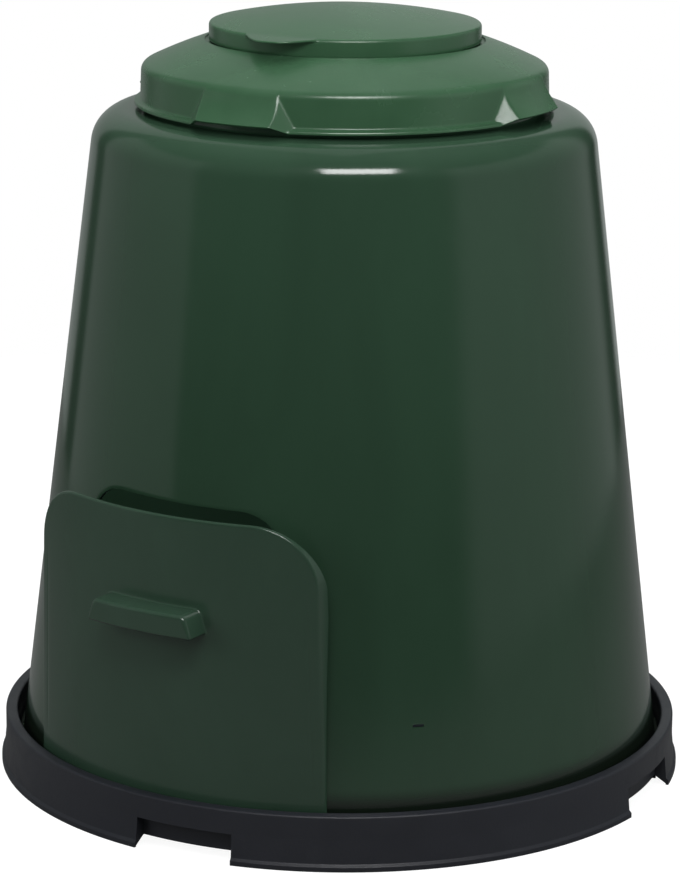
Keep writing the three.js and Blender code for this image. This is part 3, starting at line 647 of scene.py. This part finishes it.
def lidSheets():
    p = SimpleNamespace(**lid)
    turns, pitch = lidTurns(), 360 / p.grips
    local = (turns - p.gripTurn + pitch / 2) % pitch - pitch / 2
    coneStart = p.coneTop + p.rimStep
    coneRadius = np.linspace(coneStart, p.foldRadius - p.foldReach, p.coneRows)
    upper = np.concatenate([
        roundedPath([(p.collarOuter, p.collarTop, 0),
                     (p.collarOuter, p.grooveFloor, p.grooveRound),
                     (p.coneTop, p.grooveFloor, p.rimRound),
                     (p.coneTop, lidHeight(p.coneTop), p.rimRound),
                     (coneStart, lidHeight(coneStart), 0)])[:-1],
        np.column_stack([coneRadius, lidHeight(coneRadius)]),
    ])
    # lower edge: level along each grip, and down to the lip across its facets
    down = np.clip((np.abs(local) - p.cornerAngle) / (p.sideAngle - p.cornerAngle), 0, 1)
    low = p.skirtBottom + (p.edgeHeight - p.skirtBottom) * (1 - down)
    start = p.foldHeight - p.foldReach
    middle, above, below = p.skirtShares
    share = np.concatenate([np.linspace(0, middle, above)[:-1], np.linspace(middle, 1, below)])[:, None]
    height = start - share * (start - low[None])
    # greater of the skirt and the grip: (a + b + sqrt((a - b)^2 + ease^2)) / 2
    plain, grip = plainSkirt(height), gripRadius(local[None], height)
    radius = 0.5 * (plain + grip + np.sqrt((plain - grip) ** 2 + p.gripEase ** 2))
    # past the grip's edge the skirt is plain
    radius = np.where(np.abs(local)[None] < p.gripEdge, radius, plain)
    # fold: a parabola from the cone to the skirt, drawn towards the sharp fold
    bend = np.linspace(0, 1, p.foldRows)[1:-1, None]
    fold = []
    for values, corner, first in ((radius[:1], p.foldRadius - p.foldEase[0], coneRadius[-1]),
                                  (height[:1], p.foldHeight - p.foldEase[1], lidHeight(coneRadius[-1]))):
        fold.append((1 - bend) ** 2 * first + 2 * bend * (1 - bend) * corner + bend ** 2 * values)
    rows = []
    for i, skirt in enumerate((radius, height)):
        level = np.broadcast_to(upper[:, i:i + 1], (len(upper), len(turns)))
        rows.append(np.concatenate([level, fold[i], skirt]))
    return [sheet(turned(rows[0], turns[None], rows[1]), wrapped=True, flipped=True)]


# Cap over the inlet, with its finger tab

lidCap = {
    "radius": 142.6, "bottom": 783.8, "rim": 802.1, "dome": 15.8, "wall": 3.0, "roundStart": 798.6,
    "domeInset": 3.4, "domeStart": 0.03, "domeRows": 22, "domePower": 0.9, "rimRows": 12, "rimEase": 0.6,
    "skirtRows": 6, "skirtSteps": (0.3, 2.0), "skirtStart": 3.0, "footRound": 0.9,
    "innerTop": 799.2, "innerRound": 2.2, "innerRadius": 132.0, "underRadius": 136.0, "underRows": 14,
    "tabTurn": 4.5, "tabRoot": 19.5, "tabTip": 2.0, "tabReach": 23.9, "tabEdge": 1.2, "tabSlope": 0.055,
    "tabDroop": 0.2, "tabRows": 6, "tabRoll": (60, -90), "tabBack": 1.0, "tabBlend": (0.3, 3.2),
    "tabLevel": 20, "tabMargin": 3.0, "tabColumns": 96, "columns": 204,
}


def capHeight(radius):
    # dome: a parabola from the rim to the middle
    return lidCap["rim"] + lidCap["dome"] * (1 - (radius / lidCap["radius"]) ** 2)


def plainRim(edgeRadius, edgeHeight):
    # a quarter turn from the dome into the skirt: (1 - s)^2 * dome + 2s(1 - s) * corner + s^2 * skirt
    c = SimpleNamespace(**lidCap)
    bend = np.linspace(0, 1, c.rimRows)[1:, None]
    rim = ((1 - bend) ** 2 * [edgeRadius, edgeHeight]
           + 2 * bend * (1 - bend) * [c.radius, edgeHeight - c.rimEase]
           + bend ** 2 * [c.radius, c.roundStart])
    drop = np.linspace(*c.skirtSteps, c.skirtRows)
    return np.concatenate([rim, np.column_stack([np.full(len(drop), c.radius), c.roundStart - drop])])


def tabRim(reach, edgeRadius, edgeHeight):
    # the tab's top runs on from the dome at a slope, rolls over the edge and comes back underneath
    c = SimpleNamespace(**lidCap)
    tip = c.radius + reach - c.tabEdge
    along = np.linspace(0, 1, c.tabRows)[1:, None]
    topRadius = edgeRadius + along * (tip - edgeRadius)[None]
    topHeight = edgeHeight - c.tabSlope * (topRadius - edgeRadius) - c.tabDroop * along
    roll = np.radians(np.linspace(*c.tabRoll, c.tabRows))[:, None]
    rollRadius = tip[None] + c.tabEdge * np.cos(roll)
    rollHeight = topHeight[-1:] - c.tabEdge + c.tabEdge * np.sin(roll)
    backRadius = tip[None] + along * (c.radius + c.tabBack - tip)[None]
    backHeight = edgeHeight - c.tabSlope * (backRadius - edgeRadius) - 2 * c.tabEdge - c.tabDroop
    last = np.ones((1, len(reach)))
    return (np.concatenate([topRadius, rollRadius, backRadius, last * c.radius]),
            np.concatenate([topHeight, rollHeight, backHeight, last * (c.roundStart - c.skirtSteps[1])]))


def lidCapSheets():
    c = SimpleNamespace(**lidCap)
    span = c.tabRoot + c.tabMargin
    near = np.linspace(-span, span, c.tabColumns + 1)[:-1]
    far = np.linspace(span, 360 - c.tabRoot - c.tabMargin, c.columns + 1)[:-1]
    local = np.concatenate([near, np.where(far > 180, far - 360, far)])
    turns = np.concatenate([near, far]) + c.tabTurn
    # the tab's reach: half a cosine wave from its tip to its roots, with a fairly straight edge
    ramp = np.clip((np.abs(local) - c.tabTip) / (c.tabRoot - c.tabTip), 0, 1)
    level = np.cos(np.radians(np.clip(local, -c.tabLevel, c.tabLevel)))
    reach = c.tabReach * (0.5 + 0.5 * np.cos(math.pi * ramp)) * level
    outward = np.linspace(c.domeStart, 1, c.domeRows) ** c.domePower
    domeRadius = np.concatenate([[0], (c.radius - c.domeInset) * outward])
    dome = np.column_stack([domeRadius, capHeight(domeRadius)])
    plain = plainRim(*dome[-1])
    blend = smoothStep(*c.tabBlend, reach)[None]
    inside = c.radius - c.wall
    skirt = roundedPath([(c.radius, c.roundStart - c.skirtStart, 0),
                         (c.radius, c.bottom, c.footRound), (inside, c.bottom, c.footRound),
                         (inside, c.innerTop, c.innerRound),
                         (c.innerRadius, capHeight(c.innerRadius) - c.wall, 0)])[:-1]
    underRadius = np.linspace(c.underRadius, 0, c.underRows)
    under = np.column_stack([underRadius, capHeight(underRadius) - c.wall])
    rows = []
    for i, tab in enumerate(tabRim(reach, *dome[-1])):
        top, side, below = (np.broadcast_to(part[:, i:i + 1], (len(part), len(turns)))
                            for part in (dome, skirt, under))
        rim = plain[:, i:i + 1] * (1 - blend) + tab * blend
        rows.append(np.concatenate([top, rim, side, below]))
    return [sheet(turned(rows[0], turns[None], rows[1]), wrapped=True, flipped=True)]


# Materials

nodeLayout = {"perRow": 6, "across": 220, "down": 260}


def newNode(tree, kind, inputs=None, **settings):
    # an input takes a value or another node's socket
    made = len(tree.nodes)
    node = tree.nodes.new(kind)
    node.location = (made % nodeLayout["perRow"] * nodeLayout["across"],
                     -(made // nodeLayout["perRow"]) * nodeLayout["down"])
    for key, value in settings.items():
        setattr(node, key, value)
    for key, value in (inputs or {}).items():
        if isinstance(value, bpy.types.NodeSocket):
            tree.links.new(value, node.inputs[key])
        else:
            node.inputs[key].default_value = value
    return node


def worked(tree, operation, *values):
    # a maths node on two or three values, such as a * b + c for MULTIPLY_ADD
    return newNode(tree, "ShaderNodeMath", dict(enumerate(values)), operation=operation).outputs[0]


def ranged(tree, value, fromMin, fromMax, toMin=0.0, toMax=1.0, smooth=False):
    # toMin + (toMax - toMin) * (value - fromMin) / (fromMax - fromMin), held at both ends
    return newNode(tree, "ShaderNodeMapRange", {
        "Value": value, "From Min": fromMin, "From Max": fromMax, "To Min": toMin, "To Max": toMax},
        interpolation_type="SMOOTHSTEP" if smooth else "LINEAR").outputs["Result"]


def clouded(tree, place, scale, detail, roughness=0.5, distortion=0.0):
    return newNode(tree, "ShaderNodeTexNoise", {
        "Vector": place, "Scale": scale, "Detail": detail, "Roughness": roughness,
        "Distortion": distortion}).outputs["Fac"]


def mixed(tree, share, first, second):
    # (1 - share) * first + share * second, where each is a colour or a socket
    first, second = ((*part, 1) if isinstance(part, tuple) else part for part in (first, second))
    return newNode(tree, "ShaderNodeMix", {"Factor": share, "A": first, "B": second},
                   data_type="RGBA").outputs["Result"]


def newGroup(name, output, **inputs):
    # a node group with one float output; an input's default is a vector, a number or None
    group = bpy.data.node_groups.new(name, "ShaderNodeTree")
    for label, value in inputs.items():
        kind = "NodeSocketFloat" if isinstance(value, float) else "NodeSocketVector"
        socket = group.interface.new_socket(name=label, in_out="INPUT", socket_type=kind)
        if value is not None:
            socket.default_value = value
    group.interface.new_socket(name=output, in_out="OUTPUT", socket_type="NodeSocketFloat")
    return group, newNode(group, "NodeGroupInput").outputs


# noises are (scale, detail) or (scale, detail, roughness)
skinLayers = {"Grain": (1400.0, 2.0), "Peel": (260.0, 2.0), "Waves": (7.0, 1.0)}
flowNoise = {"detail": 5.0, "roughness": 0.62, "distortion": 0.6, "range": (0.35, 0.72)}
dustNoise = {
    "clouds": (22.0, 6.0, 0.65), "cloudRange": (0.4, 0.75), "specks": (420.0, 3.0, 0.6),
    "speckRange": (0.45, 0.75, 0.35, 1.0), "upRange": (0.25, 1.0, 0.12, 1.0),
}
# painted shade at the foot of the body, where it stands down in the ground ring's channel: metres up where it
# starts and where it is full
paintedFootShade = {"start": 0.078, "full": 0.058, "colour": (0.004, 0.0045, 0.0035)}


def mouldedGrainGroup():
    # height of a moulded skin: fine grain, orange peel and the slow waves of a large moulding
    group, given = newGroup("mouldedGrain", "Height", Vector=None, Grain=0.2, Peel=0.3, Waves=0.5)
    total = 0.0
    for label, layer in skinLayers.items():
        total = worked(group, "MULTIPLY_ADD", clouded(group, given["Vector"], *layer), given[label], total)
    newNode(group, "NodeGroupOutput", {"Height": total})
    return group


def flowMarksGroup():
    # mask of faint streaks and clouds that the plastic leaves as it fills the mould
    group, given = newGroup("flowMarks", "Mask", Vector=None, Stretch=(1.0, 1.0, 0.25), Scale=9.0)
    place = newNode(group, "ShaderNodeVectorMath", {0: given["Vector"], 1: given["Stretch"]},
                    operation="MULTIPLY").outputs[0]
    clouds = clouded(group, place, given["Scale"], flowNoise["detail"], flowNoise["roughness"],
                     flowNoise["distortion"])
    newNode(group, "NodeGroupOutput", {"Mask": ranged(group, clouds, *flowNoise["range"], smooth=True)})
    return group


def dustGroup():
    # mask of light dust: more on faces that look up, broken up by two noises
    group, given = newGroup("settledDust", "Mask", Vector=None, Normal=None, Amount=0.2)
    up = newNode(group, "ShaderNodeSeparateXYZ", {"Vector": given["Normal"]}).outputs["Z"]
    clouds = ranged(group, clouded(group, given["Vector"], *dustNoise["clouds"]), *dustNoise["cloudRange"])
    specks = ranged(group, clouded(group, given["Vector"], *dustNoise["specks"]), *dustNoise["speckRange"])
    mask = worked(group, "MULTIPLY", clouds, specks)
    mask = worked(group, "MULTIPLY", mask, ranged(group, up, *dustNoise["upRange"]))
    newNode(group, "NodeGroupOutput", {"Mask": worked(group, "MULTIPLY", mask, given["Amount"])})
    return group


grainGroup, flowGroup, dustyGroup = mouldedGrainGroup(), flowMarksGroup(), dustGroup()
print("node groups made")


def newMaterial(name):
    material = bpy.data.materials.new(name)
    material.use_nodes = True
    material.node_tree.nodes.clear()
    return material, material.node_tree


def mouldedPlastic(name, look):
    # flow marks, dust and painted foot shade over the plastic's colour; roughness: gloss + dustRough * dust
    material, tree = newMaterial(name)
    around = newNode(tree, "ShaderNodeTexCoord").outputs["Object"]
    facing = newNode(tree, "ShaderNodeNewGeometry").outputs["Normal"]
    flow = newNode(tree, "ShaderNodeGroup", {
        "Vector": around, "Stretch": look["flowStretch"], "Scale": look["flowScale"]},
        node_tree=flowGroup).outputs["Mask"]
    dust = newNode(tree, "ShaderNodeGroup", {"Vector": around, "Normal": facing, "Amount": look["dust"]},
                   node_tree=dustyGroup).outputs["Mask"]
    grain = newNode(tree, "ShaderNodeGroup", {
        "Vector": around, "Grain": look["grain"], "Peel": look["peel"], "Waves": look["waves"]},
        node_tree=grainGroup).outputs["Height"]
    colour = mixed(tree, flow, look["colour"], look["flowColour"])
    colour = mixed(tree, dust, colour, look["dustColour"])
    up = newNode(tree, "ShaderNodeSeparateXYZ", {"Vector": around}).outputs["Z"]
    # painted shade: the colour darkens to near black towards the bottom of the piece, between the two heights
    foot = ranged(tree, up, paintedFootShade["start"], paintedFootShade["full"], 0.0, look["paintedFootShade"], smooth=True)
    gloss = ranged(tree, flow, 0.0, 1.0, look["roughness"], look["roughness"] + look["roughSpread"])
    bump = newNode(tree, "ShaderNodeBump", {
        "Height": grain, "Strength": look["bump"], "Distance": look["bumpDepth"]})
    surface = newNode(tree, "ShaderNodeBsdfPrincipled", {
        "Base Color": mixed(tree, foot, colour, paintedFootShade["colour"]),
        "Roughness": worked(tree, "MULTIPLY_ADD", dust, look["dustRough"], gloss),
        "Normal": bump.outputs["Normal"], "IOR": look["ior"], "Specular IOR Level": look["specular"]})
    newNode(tree, "ShaderNodeOutputMaterial", {"Surface": surface.outputs["BSDF"]})
    return material


def zincPlated(name, look):
    # crystals of two greys, with a clouded roughness and bump
    material, tree = newMaterial(name)
    around = newNode(tree, "ShaderNodeTexCoord").outputs["Object"]
    spangle = newNode(tree, "ShaderNodeTexVoronoi", {"Vector": around, "Scale": look["spangleScale"]})
    cloud = clouded(tree, around, *look["cloud"])
    bump = newNode(tree, "ShaderNodeBump", {
        "Height": cloud, "Strength": look["bump"], "Distance": look["bumpDepth"]})
    surface = newNode(tree, "ShaderNodeBsdfPrincipled", {
        "Base Color": mixed(tree, spangle.outputs["Distance"], look["colour"], look["shade"]),
        "Roughness": ranged(tree, cloud, 0.0, 1.0, look["roughness"], look["roughness"] + look["roughSpread"]),
        "Normal": bump.outputs["Normal"], "Metallic": 1.0})
    newNode(tree, "ShaderNodeOutputMaterial", {"Surface": surface.outputs["BSDF"]})
    return material


# what the plastics share; an entry of plasticLooks can replace it
plasticLook = {
    "dustColour": (0.20, 0.22, 0.19), "dustRough": 0.5, "paintedFootShade": 0.0, "ior": 1.5, "specular": 0.5,
    "bumpDepth": 0.001,
}
plasticLooks = {
    "bodyGreen": {
        # the body's foot is darkened by painted shade where it stands in the ring
        "colour": (0.0166, 0.0386, 0.0223), "flowColour": (0.0187, 0.0436, 0.0252), "dust": 0.02, "paintedFootShade": 0.85,
        "roughness": 0.11, "roughSpread": 0.03, "grain": 0.03, "peel": 0.05, "waves": 0.9, "bump": 0.55,
        "flowStretch": (1.0, 1.0, 0.3), "flowScale": 7.0,
    },
    "hatchGreen": {
        "colour": (0.0202, 0.0428, 0.0272), "flowColour": (0.0229, 0.0479, 0.0309), "dust": 0.03,
        "roughness": 0.16, "roughSpread": 0.05, "grain": 0.06, "peel": 0.08, "waves": 0.5, "bump": 0.6,
        "flowStretch": (0.8, 1.0, 0.5), "flowScale": 9.0,
    },
    "lidGreen": {
        "colour": (0.0222, 0.0600, 0.0296), "flowColour": (0.0251, 0.0677, 0.0334), "dust": 0.03,
        "dustColour": (0.26, 0.29, 0.25), "roughness": 0.23, "roughSpread": 0.06, "grain": 0.08, "peel": 0.10,
        "waves": 0.3, "bump": 0.7, "flowStretch": (1.0, 1.0, 1.0), "flowScale": 11.0,
    },
    "ringBlack": {
        "colour": (0.0137, 0.0148, 0.0198), "flowColour": (0.0155, 0.0167, 0.0223), "dust": 0.02,
        "dustColour": (0.16, 0.15, 0.15), "roughness": 0.42, "roughSpread": 0.10, "specular": 0.45,
        "grain": 0.14, "peel": 0.16, "waves": 0.25, "bump": 0.8, "flowStretch": (1.0, 1.0, 1.0),
        "flowScale": 16.0,
    },
}
zincLook = {
    "colour": (0.62, 0.63, 0.65), "shade": (0.42, 0.43, 0.46), "roughness": 0.26, "roughSpread": 0.2,
    "spangleScale": 900.0, "cloud": (350.0, 4.0), "bump": 0.25, "bumpDepth": 0.0002,
}
plastics = {name: mouldedPlastic(name, {**plasticLook, **look}) for name, look in plasticLooks.items()}
zincSteel = zincPlated("zincSteel", zincLook)
print("materials made")


# Pieces on their bodies

def dress(piece, material, body, slot, *nodes):
    piece.data.materials.clear()
    piece.data.materials.append(material)
    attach(piece, body)
    if nodes:
        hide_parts(*nodes)


dress(makePiece("groundRing", groundRingSheets(), crease=groundRing["crease"]), plastics["ringBlack"], "bin",
      "base_black", "base_ring")
dress(makePiece("binBody", binBodySheets(), thickness=binBody["wall"], bevel=binBody["edgeRound"]),
      plastics["bodyGreen"], "bin", "body_green", "body_shell")
dress(makePiece("hatchSill", hatchSillSheets()), plastics["bodyGreen"], "bin", "body_green", "body_shell")
dress(makePiece("hatchRails", hatchRailSheets()), plastics["bodyGreen"], "bin", "body_green", "body_shell")
dress(makePiece("screwBosses", screwBossSheets()), plastics["bodyGreen"], "bin", "body_green", "body_shell")
dress(makePiece("slidingHatch", hatchSheets() + hatchHookSheets()), plastics["hatchGreen"], "hatch",
      "hatch_green", "hatch")
dress(makePiece("liftOffLid", lidSheets(), thickness=lid["wall"], bevel=lid["edgeRound"]),
      plastics["lidGreen"], "lid", "lid_green", "lid")
dress(makePiece("inletCap", lidCapSheets()), plastics["lidGreen"], "cap", "lid_green", "lid_cap")
for name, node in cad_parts.items():
    # the floor grille and the screws are the CAD's own, with these materials
    if name != "floor_grille" and not name.startswith("base_screw"):
        continue
    finish = plastics["ringBlack"] if name == "floor_grille" else zincSteel
    if not node.material_slots:
        node.data.materials.append(finish)
    for slot in node.material_slots:
        slot.link = "OBJECT"
        slot.material = finish
print("pieces dressed")


# Floor, world, lights and camera

studio = {
    "floorRadii": (0.0, 0.3, 0.8, 1.4, 1.95), "floorColumns": 96, "floorColour": (0.16, 0.16, 0.16),
    "floorShade": 1.03, "floorNoise": (40.0, 4.0), "floorGlow": 0.93, "mirrored": 0.02,
    # metres from the axis between which the floor starts to glow; inside them the floor is left dark as painted
    # shadow under the bin
    "glowFrom": 0.285, "glowTo": 0.325,
    "cameraTurn": 33.0, "dimRoom": 0.015, "ambient": 0.27, "roomColour": (0.93, 1.0, 0.97, 1),
    "steepest": 0.999,
}
# What glossy faces mirror: turns are from the camera's side, towards its right, and heights are sines of the
# elevation. Both backs lie behind the object, past a dark strip at each side. Everything else is lit by the
# even ambient light and the lamps.
mirroredWalls = {
    "left": {"turns": (-136, -69), "turnSoft": 1.5, "heights": (-0.4, 0.55), "heightSoft": 0.05, "light": 0.26},
    "right": {"turns": (50, 142), "turnSoft": 6.0, "heights": (-0.4, 0.55), "heightSoft": 0.05, "light": 0.30},
    "ceiling": {"turns": (-400, 400), "turnSoft": 1.0, "heights": (0.35, 2.0), "heightSoft": 0.2,
                "light": 0.077},
    "leftBack": {"turns": (-200, -148), "turnSoft": 2.5, "heights": (-2.0, 2.0), "heightSoft": 0.1,
                 "light": 0.27},
    "rightBack": {"turns": (157, 200), "turnSoft": 3.0, "heights": (-2.0, 2.0), "heightSoft": 0.1,
                  "light": 0.36},
}
# Each lamp looks at a height on the axis. The mirrored one only shows in glossy faces, and the others only
# light.
lamps = {
    "keySoftbox": {"turn": 2, "height": 1.5, "distance": 1.15, "size": (1.2, 0.40), "power": 14.5, "aim": 0.8},
    "keyGlare": {"turn": 7, "height": 2.2, "distance": 2.1, "size": (1.30, 0.62), "power": 40, "aim": 0.7,
                 "mirrored": True},
    "overheadSoftbox": {"turn": 180, "height": 1.75, "distance": 0.1, "size": (1.4, 1.1), "power": 20,
                        "aim": 0.6},
    "rightSoftbox": {"turn": 58, "height": 1.05, "distance": 1.7, "size": (1.0, 0.9), "power": 13,
                     "aim": 0.45},
    "leftFill": {"turn": -66, "height": 0.95, "distance": 1.8, "size": (1.0, 0.9), "power": 12, "aim": 0.45},
    "backFill": {"turn": 175, "height": 1.3, "distance": 2.0, "size": (1.4, 1.0), "power": 14, "aim": 0.45},
    "insideFill": {"turn": 0, "height": 0.62, "distance": 0.0, "size": (0.25, 0.25), "power": 2.4,
                   "aim": 0.1},
}
# focal length and picture height are in pixels of the photograph
view = {
    "pitch": 14.494, "roll": 0.494, "yaw": -0.0301, "distance": 3.6, "height": 1.2835,
    "focal": 3452.9, "picture": 876, "sensor": 36.0, "clip": (0.1, 50),
}


def seenShare(tree):
    # 1 for camera and transmission rays, plus a small share for glossy ones
    path = newNode(tree, "ShaderNodeLightPath").outputs
    seen = worked(tree, "ADD", path["Is Camera Ray"], path["Is Transmission Ray"])
    return worked(tree, "MULTIPLY_ADD", path["Is Glossy Ray"], studio["mirrored"], seen)


def makeFloor():
    # a flat disc: rings of points at a few radii about the middle
    turns = np.arange(studio["floorColumns"]) * 360 / studio["floorColumns"]
    grid = turned(np.array(studio["floorRadii"])[:, None] / millimetre, turns[None], 0.0)
    floor = makePiece("floor", [sheet(grid, wrapped=True, flipped=True)])
    material, tree = newMaterial("paleFloor")
    # the glow is left out under the bin as painted shadow: the ground there keeps only its dim matt colour,
    # from a little inside the ring to the axis
    place = newNode(tree, "ShaderNodeTexCoord").outputs
    reach = newNode(tree, "ShaderNodeVectorMath", {0: place["Object"]}, operation="LENGTH").outputs["Value"]
    outside = ranged(tree, reach, studio["glowFrom"], studio["glowTo"], 0.0, studio["floorGlow"], smooth=True)
    glow = newNode(tree, "ShaderNodeEmission", {
        "Color": (1, 1, 1, 1), "Strength": worked(tree, "MULTIPLY", seenShare(tree), outside)})
    colour = studio["floorColour"]
    speckle = clouded(tree, place["Generated"], *studio["floorNoise"])
    shade = mixed(tree, speckle, colour, tuple(studio["floorShade"] * part for part in colour))
    matt = newNode(tree, "ShaderNodeBsdfDiffuse", {"Color": shade})
    both = newNode(tree, "ShaderNodeAddShader", {0: glow.outputs[0], 1: matt.outputs[0]})
    newNode(tree, "ShaderNodeOutputMaterial", {"Surface": both.outputs[0]})
    floor.data.materials.append(material)


def makeWorld():
    # a plain studio: each patch of wall is a range of turns and heights with its own brightness
    world = bpy.data.worlds.new("studio")
    bpy.context.scene.world = world
    world.use_nodes = True
    tree = world.node_tree
    tree.nodes.clear()
    place = newNode(tree, "ShaderNodeTexCoord").outputs["Generated"]
    split = newNode(tree, "ShaderNodeSeparateXYZ", {"Vector": place}).outputs
    # turn = atan2(x, -y) - cameraTurn, wrapped to -180..180 degrees
    turn = worked(tree, "ARCTAN2", split["X"], worked(tree, "MULTIPLY", split["Y"], -1.0))
    turn = worked(tree, "ADD", turn, math.radians(-studio["cameraTurn"]))
    turn = worked(tree, "WRAP", turn, math.pi, -math.pi)

    def band(value, low, high, soft):
        # 1 from low to high, with a smooth step at each end
        rise = ranged(tree, value, low - soft, low + soft, smooth=True)
        fall = ranged(tree, value, high - soft, high + soft, 1.0, 0.0, smooth=True)
        return worked(tree, "MULTIPLY", rise, fall)

    total = studio["dimRoom"]
    for wall in mirroredWalls.values():
        across = band(turn, *(math.radians(part) for part in wall["turns"]), math.radians(wall["turnSoft"]))
        lit = worked(tree, "MULTIPLY", across, band(split["Z"], *wall["heights"], wall["heightSoft"]))
        total = worked(tree, "MULTIPLY_ADD", lit, wall["light"], total)
    glossy = newNode(tree, "ShaderNodeLightPath").outputs["Is Glossy Ray"]
    level = newNode(tree, "ShaderNodeMix", {0: glossy, 2: studio["ambient"], 3: total}, data_type="FLOAT")
    room = newNode(tree, "ShaderNodeBackground", {"Color": studio["roomColour"], "Strength": level.outputs[0]})
    plain = newNode(tree, "ShaderNodeBackground", {"Color": (1, 1, 1, 1), "Strength": 1.0})
    both = newNode(tree, "ShaderNodeMixShader", {0: seenShare(tree), 1: room.outputs[0], 2: plain.outputs[0]})
    newNode(tree, "ShaderNodeOutputWorld", {"Surface": both.outputs[0]})


def placedBy(side, up, back, spot):
    # matrix of an object whose own x, y and z look along side, up and back
    return Matrix(np.vstack([np.column_stack([side, up, back, spot]), [0, 0, 0, 1]]).tolist())


def makeLight(name, lamp):
    # an area light at a turn from the camera's side, looking at its aim
    light = bpy.data.lights.new(name, "AREA")
    light.shape, light.energy = "RECTANGLE", lamp["power"]
    light.size, light.size_y = lamp["size"]
    holder = bpy.data.objects.new(name, light)
    holder.visible_glossy = lamp.get("mirrored", False)
    holder.visible_diffuse, holder.visible_camera = not holder.visible_glossy, False
    bpy.context.scene.collection.objects.link(holder)
    spot = turned(lamp["distance"], lamp["turn"] + studio["cameraTurn"], lamp["height"])
    toward = unit(np.array((0, 0, lamp["aim"])) - spot)
    # a lamp that looks straight down has no level side of its own
    side = np.cross(toward, [0, 0, 1]) if abs(toward[2]) < studio["steepest"] else np.array([1.0, 0, 0])
    side = unit(side)
    holder.matrix_world = placedBy(side, np.cross(side, toward), -toward, spot)


def makeCamera():
    # looks down by the pitch, rolled a little, from the photograph's place; all turned with the hatch to -Y
    pitch, roll, yaw = (math.radians(view[name]) for name in ("pitch", "roll", "yaw"))
    forward = np.array([math.sin(yaw) * math.cos(pitch), math.cos(yaw) * math.cos(pitch), -math.sin(pitch)])
    right = unit(np.cross(forward, [0, 0, 1]))
    up = np.cross(right, forward)
    right, up = (math.cos(roll) * right + math.sin(roll) * up, -math.sin(roll) * right + math.cos(roll) * up)
    spin = Matrix.Rotation(math.radians(studio["cameraTurn"]), 4, "Z")
    camera = bpy.data.objects.new("camera", bpy.data.cameras.new("camera"))
    camera.data.sensor_width = view["sensor"]
    camera.data.lens = view["sensor"] * view["focal"] / view["picture"]
    camera.data.clip_start, camera.data.clip_end = view["clip"]
    bpy.context.scene.collection.objects.link(camera)
    camera.matrix_world = spin @ placedBy(right, up, -forward, [0, -view["distance"], view["height"]])
    bpy.context.scene.camera = camera


makeFloor()
makeWorld()
for name, lamp in lamps.items():
    makeLight(name, lamp)
makeCamera()
bpy.context.scene.view_settings.view_transform = "Standard"
print("studio made")
